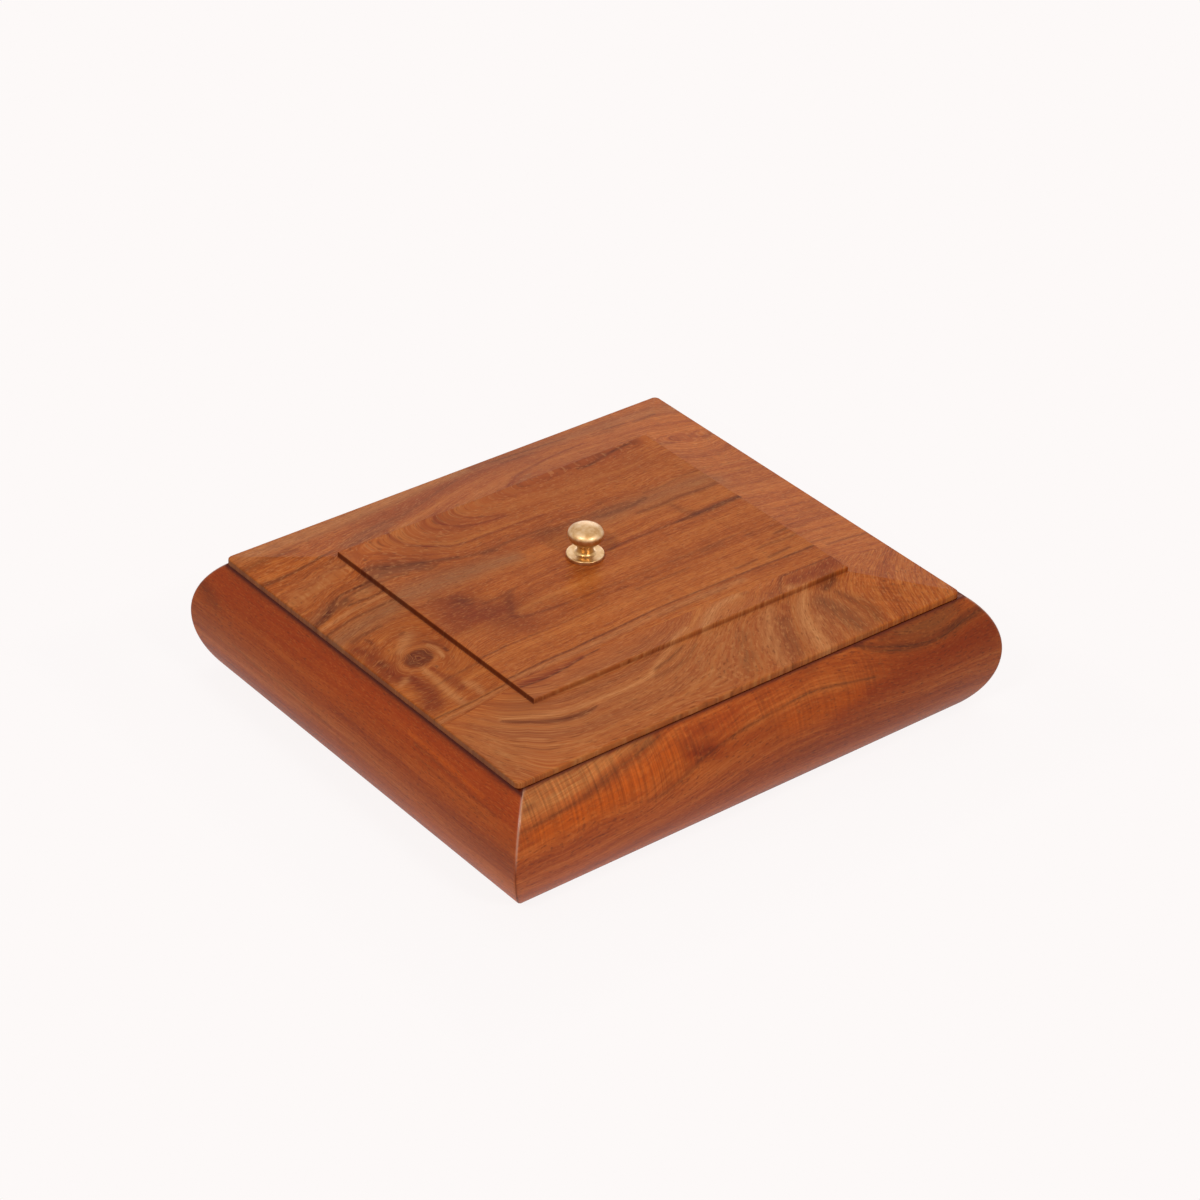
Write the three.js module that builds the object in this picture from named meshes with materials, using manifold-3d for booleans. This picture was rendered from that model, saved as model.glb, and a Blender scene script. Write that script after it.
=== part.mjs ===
// Wooden storage box: four mitred bullnose rails around a grooved-in bottom, closed by a
// lift-off raised-and-fielded lid with a turned brass knob. Millimetres, +Z up, the box
// stands on z = 0 with its centre on the Z axis, its length along X and its front facing -Y.

import * as THREE from 'three';
import { mergeVertices } from 'three/addons/utils/BufferGeometryUtils.js';
import Module from 'manifold-3d';

const wasm = await Module();
wasm.setup();

// Lid, seen from above. It fits loosely and lies a little to the left of the box's middle.
const LID_OFFSET_X = -2.6;
const LID_LENGTH = 230;
const LID_WIDTH = 198.6;
const LID_CORNER_RADIUS = 2.6;
const FRONT_BOARD_WIDTH = 45.5;
const GLUE_LINE = 0.3;

// Lid, in section
const LID_EDGE = 3;
const LID_EDGE_ROUND = 0.9;
const MARGIN_WIDTH = 33.2;
const MARGIN_RISE = 5;
const FIELD_STEP = 2.3;
const FIELD_ROUND = 0.5;
const PLUG_DEPTH = 5;
const PLUG_SIDE_GAP = 0.4;
const SEAT_GAP = 0.3;

// Rails
const RAIL_HEIGHT = 53;
const RAIL_BULGE = 12.8;
const RAIL_WIDEST_HEIGHT = 27.2;
const RAIL_FOOT_OVERHANG = 2;
const RAIL_FOOT_ROUND = 1;
const RAIL_LAND = 9;
const MITRE_GAP = 0.3;

// Bottom panel and its groove
const PANEL_THICKNESS = 4.5;
const PANEL_HEIGHT = 6;
const PANEL_ENTRY = 5;
const GROOVE_SIDE_CLEARANCE = 0.2;
const GROOVE_END_CLEARANCE = 0.4;

// Loose tongues across the mitres
const TONGUE_WIDTH = 12;
const TONGUE_THICKNESS = 3;
const TONGUE_CLEARANCE = 0.3;
const TONGUE_INNER_WALL = 2.2;
const TONGUE_ABOVE_GROOVE = 3;
const TONGUE_BELOW_TOP = 9;

// Knob, its heights measured from its seat on the lid
const KNOB_OFFSET_X = -1;
const KNOB_OFFSET_Y = 4;
const KNOB_SEAT_GAP = 0.1;
const FLANGE_RADIUS = 8;
const FLANGE_THICKNESS = 1.6;
const FLANGE_ROUND = 0.35;
const NECK_RADIUS = 3.45;
const NECK_FOOT_FILLET = 1.3;
const HEAD_RADIUS = 7.55;
const HEAD_WIDEST_HEIGHT = 10.9;
const HEAD_CROWN_HEIGHT = 3.9;
const HEAD_UNDERSIDE_DEPTH = 4.6;

// Screw and washer under the lid
const SCREW_RADIUS = 2;
const SCREW_ENTRY = 6.5;
const SCREW_HOLE_CLEARANCE = 0.3;
const SCREW_TIP_CLEARANCE = 1;
const SCREW_HEAD_RADIUS = 3.8;
const SCREW_HEAD_HEIGHT = 2.4;
const SCREW_HEAD_DOME = 0.9;
const DRIVE_SLOT_LENGTH = 4.4;
const DRIVE_SLOT_WIDTH = 1;
const DRIVE_SLOT_DEPTH = 1.3;
const WASHER_RADIUS = 5;
const WASHER_THICKNESS = 1;
const WASHER_GAP = 0.1;

// Places that follow from the sizes
const PLUG_CLEARANCE = Math.abs(LID_OFFSET_X) + PLUG_SIDE_GAP;
const LID_SEAT_Z = RAIL_HEIGHT + SEAT_GAP;
const FIELD_Z = LID_SEAT_Z + LID_EDGE + MARGIN_RISE + FIELD_STEP;
const PLUG_Z = LID_SEAT_Z - PLUG_DEPTH;
const KNOB_X = LID_OFFSET_X + KNOB_OFFSET_X;
const KNOB_SEAT_Z = FIELD_Z + KNOB_SEAT_GAP;
const WASHER_TOP_Z = PLUG_Z - WASHER_GAP;
const SCREW_HEAD_TOP_Z = WASHER_TOP_Z - WASHER_THICKNESS - WASHER_GAP;
const SCREW_TIP_Z = KNOB_SEAT_Z + SCREW_ENTRY;
const GROOVE_BOTTOM_Z = PANEL_HEIGHT - GROOVE_SIDE_CLEARANCE;
const GROOVE_TOP_Z = PANEL_HEIGHT + PANEL_THICKNESS + GROOVE_SIDE_CLEARANCE;
const GROOVE_DEPTH = PANEL_ENTRY + GROOVE_END_CLEARANCE;
const TONGUE_BOTTOM_Z = GROOVE_TOP_Z + TONGUE_ABOVE_GROOVE;
const TONGUE_HEIGHT = RAIL_HEIGHT - TONGUE_BELOW_TOP - TONGUE_BOTTOM_Z;
const SLOT_WIDTH = TONGUE_WIDTH + 2 * TONGUE_CLEARANCE;
const SLOT_THICKNESS = TONGUE_THICKNESS + 2 * TONGUE_CLEARANCE;
const SLOT_REACH = (SLOT_WIDTH + SLOT_THICKNESS) / 2 * Math.SQRT1_2;
const TONGUE_OUT = TONGUE_INNER_WALL + SLOT_REACH - RAIL_LAND;

// How finely the round stretches are drawn
const RAIL_ARC_STEPS = 18;
const KNOB_STEPS = 10;
const TURN_STEPS = 40;
const SMALL_TURN_STEPS = 24;
const ROUND_STEPS = 4;
const MERGE_DISTANCE = 1e-5;

const finishes = {
  rail: { color: 0x963c0f, roughness: 0.28, metalness: 0 },
  lid: { color: 0xa5572e, roughness: 0.45, metalness: 0 },
  panel: { color: 0xb98a5a, roughness: 0.6, metalness: 0 },
  tongue: { color: 0xc9a06c, roughness: 0.7, metalness: 0 },
  brass: { color: 0xb99a5f, roughness: 0.3, metalness: 1 },
  steel: { color: 0x8d8f92, roughness: 0.35, metalness: 1 },
};

const box = new THREE.Group();

function addPiece(name, geometry, finish, position = [0, 0, 0], turn = 0) {
  const mesh = new THREE.Mesh(geometry, new THREE.MeshStandardMaterial(finishes[finish]));
  mesh.name = name;
  mesh.position.set(...position);
  mesh.rotation.z = turn;
  box.add(mesh);
  return mesh;
}

// Turns a closed three.js geometry into a solid that can be cut and joined.
function toSolid(geometry) {
  const bare = geometry.clone();
  bare.deleteAttribute('normal');
  bare.deleteAttribute('uv');
  const merged = mergeVertices(bare, MERGE_DISTANCE);
  return new wasm.Manifold(new wasm.Mesh({
    numProp: 3,
    vertProperties: new Float32Array(merged.attributes.position.array),
    triVerts: new Uint32Array(merged.index.array),
  }));
}

function toGeometry(solid) {
  const mesh = solid.getMesh();
  const geometry = new THREE.BufferGeometry();
  geometry.setAttribute('position', new THREE.BufferAttribute(new Float32Array(mesh.vertProperties), 3));
  geometry.setIndex(new THREE.BufferAttribute(new Uint32Array(mesh.triVerts), 1));
  geometry.computeVertexNormals();
  return geometry;
}

function blockSolid(size, centre, turn = 0) {
  const geometry = new THREE.BoxGeometry(...size);
  geometry.rotateZ(turn);
  geometry.translate(...centre);
  return toSolid(geometry);
}

function rodSolid(radius, bottomZ, topZ, x, y) {
  const geometry = new THREE.CylinderGeometry(radius, radius, topZ - bottomZ, SMALL_TURN_STEPS);
  geometry.rotateX(Math.PI / 2);
  geometry.translate(x, y, (bottomZ + topZ) / 2);
  return toSolid(geometry);
}

// A turned solid about Z from [radius, height] points that start and end on the axis.
function turned(points, steps) {
  const geometry = new THREE.LatheGeometry(points.map(([r, z]) => new THREE.Vector2(r, z)), steps);
  geometry.rotateX(Math.PI / 2);
  return geometry;
}

// Points of an ellipse's arc, from angle a to angle b in degrees.
function arc(centreX, centreY, radiusX, radiusY, a, b, steps) {
  const points = [];
  for (let i = 0; i <= steps; i += 1) {
    const angle = THREE.MathUtils.degToRad(a + (b - a) * i / steps);
    points.push([centreX + radiusX * Math.cos(angle), centreY + radiusY * Math.sin(angle)]);
  }
  return points;
}

function roundArc(centreX, centreY, radius, a, b, steps) {
  return arc(centreX, centreY, radius, radius, a, b, steps);
}

function shapeFrom(points) {
  return new THREE.Shape(points.map(([x, y]) => new THREE.Vector2(x, y)));
}

// Radius of the circle that is upright at the widest point and drops back by drop over rise.
function bullnoseRadius(drop, rise) {
  return (drop * drop + rise * rise) / (2 * drop);
}

// A rail's section as [out, z]: out is 0 under the lid's edge, negative towards the inside.
function railSection() {
  const topRise = RAIL_HEIGHT - RAIL_WIDEST_HEIGHT;
  const topRadius = bullnoseRadius(RAIL_BULGE, topRise);
  const topAngle = THREE.MathUtils.radToDeg(Math.asin(topRise / topRadius));
  const topCentre = RAIL_BULGE - topRadius;
  const footDrop = RAIL_BULGE - RAIL_FOOT_OVERHANG;
  const footRadius = bullnoseRadius(footDrop, RAIL_WIDEST_HEIGHT);
  const footRise = RAIL_WIDEST_HEIGHT - RAIL_FOOT_ROUND;
  const footAngle = THREE.MathUtils.radToDeg(Math.asin(footRise / footRadius));
  const footCentre = RAIL_BULGE - footRadius;
  const upper = roundArc(topCentre, RAIL_WIDEST_HEIGHT, topRadius, topAngle, 0, RAIL_ARC_STEPS);
  const lower = roundArc(footCentre, RAIL_WIDEST_HEIGHT, footRadius, 0, -footAngle, RAIL_ARC_STEPS);
  const [footOut] = lower[lower.length - 1];
  const foot = roundArc(footOut - RAIL_FOOT_ROUND, RAIL_FOOT_ROUND, RAIL_FOOT_ROUND, 0, -90, ROUND_STEPS);
  return [
    ...upper,
    ...lower.slice(1),
    ...foot.slice(1),
    [-RAIL_LAND, 0],
    [-RAIL_LAND, GROOVE_BOTTOM_Z],
    [GROOVE_DEPTH - RAIL_LAND, GROOVE_BOTTOM_Z],
    [GROOVE_DEPTH - RAIL_LAND, GROOVE_TOP_Z],
    [-RAIL_LAND, GROOVE_TOP_Z],
    [-RAIL_LAND, RAIL_HEIGHT],
  ];
}

// One rail along local X with its outside towards local -Y. Each end slides outwards with the
// section, which is the 45 degree mitre, and is slotted for a loose tongue.
function railGeometry(halfLength) {
  const geometry = new THREE.ExtrudeGeometry(shapeFrom(railSection()), {
    depth: 2 * halfLength,
    bevelEnabled: false,
  });
  const position = geometry.attributes.position;
  const mitreBack = MITRE_GAP * Math.SQRT1_2;
  for (let i = 0; i < position.count; i += 1) {
    const out = position.getX(i);
    const z = position.getY(i);
    const end = position.getZ(i) > halfLength ? -1 : 1;
    position.setXYZ(i, end * (halfLength + out - mitreBack), -out, z);
  }
  let solid = toSolid(geometry);
  for (const end of [-1, 1]) {
    const slot = blockSolid(
      [SLOT_WIDTH, SLOT_THICKNESS, TONGUE_HEIGHT + 2 * TONGUE_CLEARANCE],
      [end * (halfLength + TONGUE_OUT), -TONGUE_OUT, TONGUE_BOTTOM_Z + TONGUE_HEIGHT / 2],
      end * Math.PI / 4,
    );
    solid = solid.subtract(slot);
  }
  return toGeometry(solid);
}

function addRails() {
  const sides = [
    ['front_rail', LID_LENGTH / 2, [0, -LID_WIDTH / 2, 0], 0],
    ['right_rail', LID_WIDTH / 2, [LID_LENGTH / 2, 0, 0], Math.PI / 2],
    ['back_rail', LID_LENGTH / 2, [0, LID_WIDTH / 2, 0], Math.PI],
    ['left_rail', LID_WIDTH / 2, [-LID_LENGTH / 2, 0, 0], -Math.PI / 2],
  ];
  for (const [name, halfLength, position, turn] of sides) {
    addPiece(name, railGeometry(halfLength), 'rail', position, turn);
  }
}

function addTongues() {
  const corners = [
    ['front_left', -1, -1],
    ['front_right', 1, -1],
    ['back_right', 1, 1],
    ['back_left', -1, 1],
  ];
  for (const [corner, sideX, sideY] of corners) {
    const geometry = new THREE.BoxGeometry(TONGUE_WIDTH, TONGUE_THICKNESS, TONGUE_HEIGHT);
    const centre = [
      sideX * (LID_LENGTH / 2 + TONGUE_OUT),
      sideY * (LID_WIDTH / 2 + TONGUE_OUT),
      TONGUE_BOTTOM_Z + TONGUE_HEIGHT / 2,
    ];
    addPiece(`mitre_tongue_${corner}`, geometry, 'tongue', centre, -sideX * sideY * Math.PI / 4);
  }
}

function addBottomPanel() {
  const grooveInset = 2 * (RAIL_LAND - PANEL_ENTRY);
  const geometry = new THREE.BoxGeometry(LID_LENGTH - grooveInset, LID_WIDTH - grooveInset, PANEL_THICKNESS);
  addPiece('bottom_panel', geometry, 'panel', [0, 0, PANEL_HEIGHT + PANEL_THICKNESS / 2]);
}

// The lid's section across a span, as [across, height over its seat]: plug, edge, sloping
// margin, step and raised field.
function lidSection(span) {
  const half = span / 2;
  const plug = half - RAIL_LAND - PLUG_CLEARANCE;
  const foot = half - MARGIN_WIDTH;
  const footHeight = LID_EDGE + MARGIN_RISE;
  const fieldHeight = footHeight + FIELD_STEP;
  const edge = roundArc(half - LID_EDGE_ROUND, LID_EDGE - LID_EDGE_ROUND, LID_EDGE_ROUND, 0, 90, ROUND_STEPS);
  const brow = roundArc(foot - FIELD_ROUND, fieldHeight - FIELD_ROUND, FIELD_ROUND, 0, 90, ROUND_STEPS);
  const right = [[plug, -PLUG_DEPTH], [plug, 0], [half, 0], ...edge, [foot, footHeight], ...brow];
  const left = right.map(([across, height]) => [-across, height]).reverse();
  return [...right, ...left];
}

// The whole lid as one solid: the same section swept both ways and intersected, so that the
// margins meet in creases at the corners, with its corners rounded in plan.
function lidSolid() {
  const sweep = (span, depth) => {
    const geometry = new THREE.ExtrudeGeometry(shapeFrom(lidSection(span)), { depth, bevelEnabled: false });
    geometry.translate(0, 0, -depth / 2);
    geometry.rotateX(Math.PI / 2);
    return geometry;
  };
  const lengthways = sweep(LID_LENGTH, LID_WIDTH);
  const crossways = sweep(LID_WIDTH, LID_LENGTH);
  crossways.rotateZ(Math.PI / 2);
  const halfX = LID_LENGTH / 2 - LID_CORNER_RADIUS;
  const halfY = LID_WIDTH / 2 - LID_CORNER_RADIUS;
  const outline = [
    ...roundArc(halfX, halfY, LID_CORNER_RADIUS, 0, 90, ROUND_STEPS),
    ...roundArc(-halfX, halfY, LID_CORNER_RADIUS, 90, 180, ROUND_STEPS),
    ...roundArc(-halfX, -halfY, LID_CORNER_RADIUS, 180, 270, ROUND_STEPS),
    ...roundArc(halfX, -halfY, LID_CORNER_RADIUS, 270, 360, ROUND_STEPS),
  ];
  const height = PLUG_DEPTH + LID_EDGE + MARGIN_RISE + FIELD_STEP;
  const column = new THREE.ExtrudeGeometry(shapeFrom(outline), { depth: 2 * height, bevelEnabled: false });
  column.translate(0, 0, -height);
  return toSolid(lengthways).intersect(toSolid(crossways)).intersect(toSolid(column));
}

// The lid is glued up from two boards and bored for the knob's screw.
function addLidBoards() {
  const hole = rodSolid(
    SCREW_RADIUS + SCREW_HOLE_CLEARANCE,
    -2 * PLUG_DEPTH,
    2 * (FIELD_Z - LID_SEAT_Z),
    KNOB_OFFSET_X,
    KNOB_OFFSET_Y,
  );
  const lid = lidSolid().subtract(hole);
  const glueY = FRONT_BOARD_WIDTH - LID_WIDTH / 2;
  const reach = 2 * LID_LENGTH;
  const frontCut = blockSolid([reach, reach, reach], [0, glueY - GLUE_LINE / 2 - reach / 2, 0]);
  const backCut = blockSolid([reach, reach, reach], [0, glueY + GLUE_LINE / 2 + reach / 2, 0]);
  addPiece('lid_front_board', toGeometry(lid.intersect(frontCut)), 'lid', [LID_OFFSET_X, 0, LID_SEAT_Z]);
  addPiece('lid_back_board', toGeometry(lid.intersect(backCut)), 'lid', [LID_OFFSET_X, 0, LID_SEAT_Z]);
}

// Flange, waisted neck and flattened round head in one turning, bored from below for the screw.
function addKnob() {
  const bore = SCREW_RADIUS + SCREW_HOLE_CLEARANCE;
  const boreTop = SCREW_ENTRY + SCREW_TIP_CLEARANCE;
  const rim = FLANGE_RADIUS - FLANGE_ROUND;
  const rimZ = FLANGE_THICKNESS - FLANGE_ROUND;
  const neckTop = HEAD_WIDEST_HEIGHT - HEAD_UNDERSIDE_DEPTH;
  const filletZ = FLANGE_THICKNESS + NECK_FOOT_FILLET;
  const overhang = HEAD_RADIUS - NECK_RADIUS;
  const underside = arc(NECK_RADIUS, HEAD_WIDEST_HEIGHT, overhang, HEAD_UNDERSIDE_DEPTH, -90, 0, KNOB_STEPS);
  const crown = arc(0, HEAD_WIDEST_HEIGHT, HEAD_RADIUS, HEAD_CROWN_HEIGHT, 0, 90, KNOB_STEPS);
  const points = [
    [0, boreTop],
    [bore, boreTop],
    [bore, 0],
    ...roundArc(rim, FLANGE_ROUND, FLANGE_ROUND, -90, 0, ROUND_STEPS),
    ...roundArc(rim, rimZ, FLANGE_ROUND, 0, 90, ROUND_STEPS),
    ...roundArc(NECK_RADIUS + NECK_FOOT_FILLET, filletZ, NECK_FOOT_FILLET, 270, 180, ROUND_STEPS),
    [NECK_RADIUS, neckTop],
    ...underside.slice(1),
    ...crown.slice(1, -1),
    [0, HEAD_WIDEST_HEIGHT + HEAD_CROWN_HEIGHT],
  ];
  addPiece('brass_knob', turned(points, TURN_STEPS), 'brass', [KNOB_X, KNOB_OFFSET_Y, KNOB_SEAT_Z]);
}

// A domed screw with a crossed drive, up through the washer and the lid into the knob.
function addKnobScrew() {
  const headBottom = -SCREW_HEAD_HEIGHT;
  const wallBottom = headBottom + SCREW_HEAD_DOME;
  const points = [
    [0, headBottom],
    ...arc(0, wallBottom, SCREW_HEAD_RADIUS, SCREW_HEAD_DOME, -90, 0, ROUND_STEPS).slice(1),
    [SCREW_HEAD_RADIUS, 0],
    [SCREW_RADIUS, 0],
    [SCREW_RADIUS, SCREW_TIP_Z - SCREW_HEAD_TOP_Z],
    [0, SCREW_TIP_Z - SCREW_HEAD_TOP_Z],
  ];
  let screw = toSolid(turned(points, SMALL_TURN_STEPS));
  for (const turn of [0, Math.PI / 2]) {
    const size = [DRIVE_SLOT_LENGTH, DRIVE_SLOT_WIDTH, 2 * DRIVE_SLOT_DEPTH];
    screw = screw.subtract(blockSolid(size, [0, 0, headBottom], turn));
  }
  addPiece('knob_screw', toGeometry(screw), 'steel', [KNOB_X, KNOB_OFFSET_Y, SCREW_HEAD_TOP_Z]);
}

function addWasher() {
  const hole = SCREW_RADIUS + SCREW_HOLE_CLEARANCE;
  const points = [
    [hole, -WASHER_THICKNESS],
    [WASHER_RADIUS, -WASHER_THICKNESS],
    [WASHER_RADIUS, 0],
    [hole, 0],
    [hole, -WASHER_THICKNESS],
  ];
  const place = [KNOB_X, KNOB_OFFSET_Y, WASHER_TOP_Z];
  addPiece('screw_washer', turned(points, SMALL_TURN_STEPS), 'steel', place);
}

addRails();
addTongues();
addBottomPanel();
addLidBoards();
addKnob();
addKnobScrew();
addWasher();

export default box;
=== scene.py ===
"""Looks of the wooden storage box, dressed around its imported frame.

Shapes are worked out in millimetres and scaled to metres when a mesh is made. The sizes that the
frame can tell are read from it; the others are named below.
"""
import math

import bmesh
import bpy
import numpy as np
from mathutils import Matrix, Vector


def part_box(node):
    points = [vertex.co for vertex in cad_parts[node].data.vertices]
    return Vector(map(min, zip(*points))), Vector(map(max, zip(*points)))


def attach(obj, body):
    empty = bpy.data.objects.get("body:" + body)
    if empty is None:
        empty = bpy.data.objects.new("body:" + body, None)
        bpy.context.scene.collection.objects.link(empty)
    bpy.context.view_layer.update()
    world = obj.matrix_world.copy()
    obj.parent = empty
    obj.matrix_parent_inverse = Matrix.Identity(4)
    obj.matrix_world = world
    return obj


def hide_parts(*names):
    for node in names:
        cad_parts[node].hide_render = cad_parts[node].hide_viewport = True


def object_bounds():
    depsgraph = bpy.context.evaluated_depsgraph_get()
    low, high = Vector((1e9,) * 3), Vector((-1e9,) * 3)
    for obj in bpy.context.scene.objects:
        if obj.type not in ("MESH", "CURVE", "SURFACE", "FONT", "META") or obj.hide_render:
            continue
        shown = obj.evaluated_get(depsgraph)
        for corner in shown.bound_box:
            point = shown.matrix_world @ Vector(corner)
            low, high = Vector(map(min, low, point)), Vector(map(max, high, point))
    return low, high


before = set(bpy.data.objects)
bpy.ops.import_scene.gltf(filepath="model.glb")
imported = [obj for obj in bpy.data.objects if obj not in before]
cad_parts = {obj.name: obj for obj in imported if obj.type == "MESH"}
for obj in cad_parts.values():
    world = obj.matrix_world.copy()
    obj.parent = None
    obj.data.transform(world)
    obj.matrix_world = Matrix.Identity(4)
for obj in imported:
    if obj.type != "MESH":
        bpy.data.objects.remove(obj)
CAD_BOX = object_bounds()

MM = 0.001


# The camera, first

CAMERA_AZIMUTH = -39.646
CAMERA_PITCH = 32.968
CAMERA_ROLL = 2.037
CAMERA_RIGHT = 3.183
CAMERA_UP = -7.968
CAMERA_DISTANCE = 1542.13
CAMERA_LENS = 111.89
CAMERA_SENSOR = 36.0
CAMERA_TARGET = (-2.6, 0, 53)


def direction(azimuth, elevation):
    """Unit vector from the origin: azimuth 0 points to -Y and 90 to +X, in degrees."""
    a, e = math.radians(azimuth), math.radians(elevation)
    return Vector((math.sin(a) * math.cos(e), -math.cos(a) * math.cos(e), math.sin(e)))


def make_camera():
    """A camera looking along -back, turned by its roll about that line, aimed at the lid's seat."""
    back = direction(CAMERA_AZIMUTH, CAMERA_PITCH)
    level_right = Vector((0, 0, 1)).cross(back).normalized()
    level_up = back.cross(level_right)
    roll = math.radians(CAMERA_ROLL)
    right = level_right * math.cos(roll) + level_up * math.sin(roll)
    up = level_up * math.cos(roll) - level_right * math.sin(roll)
    place = Vector(CAMERA_TARGET) + back * CAMERA_DISTANCE + right * CAMERA_RIGHT + up * CAMERA_UP
    data = bpy.data.cameras.new("camera")
    data.lens = CAMERA_LENS
    data.sensor_width = CAMERA_SENSOR
    data.clip_start = 0.05
    data.clip_end = 30.0
    camera = bpy.data.objects.new("camera", data)
    axes = Matrix((right, up, back)).transposed().to_4x4()
    camera.matrix_world = Matrix.Translation(place * MM) @ axes
    bpy.context.scene.collection.objects.link(camera)
    bpy.context.scene.camera = camera


make_camera()
bpy.context.scene.view_settings.view_transform = "Standard"


# Sizes, in millimetres

def node_box(name):
    """Lowest and highest corner of a CAD node, in millimetres."""
    low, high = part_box(name)
    return np.array(low) / MM, np.array(high) / MM


BACK_LOW, BACK_HIGH = node_box("lid_back_board")
FRONT_LOW, FRONT_HIGH = node_box("lid_front_board")
RAIL_LOW, RAIL_HIGH = node_box("front_rail")
KNOB_LOW, KNOB_HIGH = node_box("brass_knob")

HALF_LENGTH = (BACK_HIGH[0] - BACK_LOW[0]) / 2
HALF_WIDTH = BACK_HIGH[1]
LID_MIDDLE = (BACK_HIGH[0] + BACK_LOW[0]) / 2
GLUE_Y = (FRONT_HIGH[1] + BACK_LOW[1]) / 2
GLUE_TILT = -0.0182
GLUE_GAP = 0.03
RAIL_TOP = RAIL_HIGH[2]
SEAT_GAP = 0.3
SEAT_Z = RAIL_TOP + SEAT_GAP
FIELD_HEIGHT = BACK_HIGH[2] - SEAT_Z
PLUG_DEPTH = SEAT_Z - BACK_LOW[2]
RAIL_BULGE = -RAIL_LOW[1] - HALF_WIDTH
RAIL_LAND = HALF_WIDTH + RAIL_HIGH[1]

LID_EDGE = 3.0
LID_ARRIS = 0.9
LID_LOWER_ARRIS = 0.35
LID_CORNER = 2.6
MARGIN_WIDTH = 33.2
MARGIN_RISE = 5.0
COVE = 0.35
BROW = 0.5
PLUG_CLEARANCE = 3.0
PLUG_INSET = RAIL_LAND + PLUG_CLEARANCE
PLUG_ARRIS = 0.6

RAIL_WIDEST = 27.2
RAIL_FOOT_OVERHANG = 2.0
RAIL_FOOT_ROUND = 1.0
RAIL_ARRIS = 0.5
MITRE_GAP = 0.05
MITRE_ROUND = 0.9
RAIL_STEP = 0.9
GROOVE_LOW = 5.8
GROOVE_HIGH = 10.7
GROOVE_DEPTH = 5.4


# Mesh helpers

def arc(centre_u, centre_v, radius_u, radius_v, start, end, steps):
    """Points on an ellipse's arc between two angles in degrees, as rows of (u, v)."""
    angle = np.radians(np.linspace(start, end, steps + 1))
    return np.stack([centre_u + radius_u * np.cos(angle), centre_v + radius_v * np.sin(angle)], -1)


def refined(points, step):
    """A polyline with each stretch cut into equal pieces no longer than step."""
    points = np.asarray(points, float)
    out = [points[:1]]
    for start, end in zip(points[:-1], points[1:]):
        count = max(1, int(np.ceil(np.linalg.norm(end - start) / step)))
        share = np.linspace(0, 1, count + 1)[1:, None]
        out.append(start + (end - start) * share)
    return np.concatenate(out)


def grid_faces(rows, columns, first):
    """Quads of a rows by columns grid whose vertices are numbered row by row from first."""
    number = first + np.arange(rows * columns).reshape(rows, columns)
    corners = [number[:-1, :-1], number[1:, :-1], number[1:, 1:], number[:-1, 1:]]
    return np.stack(corners, -1).reshape(-1, 4)


def piece_from_grids(name, grids, crease=32.0):
    """One closed mesh from grids of points in millimetres.

    Points that coincide to a tenth of a micrometre become one vertex, faces that shrink to a line
    go, each open loop that is left is a flat cut and gets one face, and all faces turn outwards.
    """
    points = np.concatenate([g.reshape(-1, 3) for g in grids])
    first = np.cumsum([0] + [g.shape[0] * g.shape[1] for g in grids])
    faces = np.concatenate([grid_faces(*g.shape[:2], n) for g, n in zip(grids, first)])
    keys = np.round(points * 1e4).astype(np.int64)
    _, keep, merged = np.unique(keys, axis=0, return_index=True, return_inverse=True)
    faces = merged.reshape(-1)[faces]
    same = faces == np.roll(faces, 1, axis=1)
    folded = (faces == np.roll(faces, 2, axis=1)).any(1)
    quads = faces[~same.any(1) & ~folded]
    pinched = same.sum(1) == 1
    triangles = faces[pinched][~same[pinched]].reshape(-1, 3)
    mesh = bpy.data.meshes.new(name)
    mesh.from_pydata((points[keep] * MM).tolist(), [], quads.tolist() + triangles.tolist())
    shell = bmesh.new()
    shell.from_mesh(mesh)
    bmesh.ops.holes_fill(shell, edges=[e for e in shell.edges if e.is_boundary], sides=0)
    bmesh.ops.recalc_face_normals(shell, faces=shell.faces)
    shell.to_mesh(mesh)
    shell.free()
    mesh.shade_smooth()
    mesh.set_sharp_from_angle(angle=math.radians(crease))
    piece = bpy.data.objects.new(name, mesh)
    bpy.context.scene.collection.objects.link(piece)
    return piece


def vertex_places(piece):
    """The piece's vertices in millimetres, one row each."""
    flat = np.empty(len(piece.data.vertices) * 3)
    piece.data.vertices.foreach_get("co", flat)
    return flat.reshape(-1, 3) / MM


def set_attributes(piece, values):
    """Keeps one number per vertex on the piece for each named array."""
    for name, numbers in values.items():
        layer = piece.data.attributes.new(name, "FLOAT", "POINT")
        layer.data.foreach_set("value", np.asarray(numbers, np.float32))


# The lid's two boards

def lid_upper_section():
    """The lid's outside as (inset, height over the seat): edge, sloping margin, step and field."""
    foot = LID_EDGE + MARGIN_RISE
    slope = MARGIN_RISE / (MARGIN_WIDTH - LID_ARRIS)
    margin = [(LID_ARRIS + 0.01, LID_EDGE), (MARGIN_WIDTH - COVE, foot - slope * COVE)]
    return np.concatenate([
        arc(LID_LOWER_ARRIS, LID_LOWER_ARRIS, LID_LOWER_ARRIS, LID_LOWER_ARRIS, 270, 180, 4),
        arc(LID_ARRIS, LID_EDGE - LID_ARRIS, LID_ARRIS, LID_ARRIS, 180, 90, 7),
        refined(margin, 0.75),
        arc(MARGIN_WIDTH - COVE, foot + COVE, COVE, COVE, 270, 360, 4)[1:],
        arc(MARGIN_WIDTH + BROW, FIELD_HEIGHT - BROW, BROW, BROW, 180, 90, 5),
    ])


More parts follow.
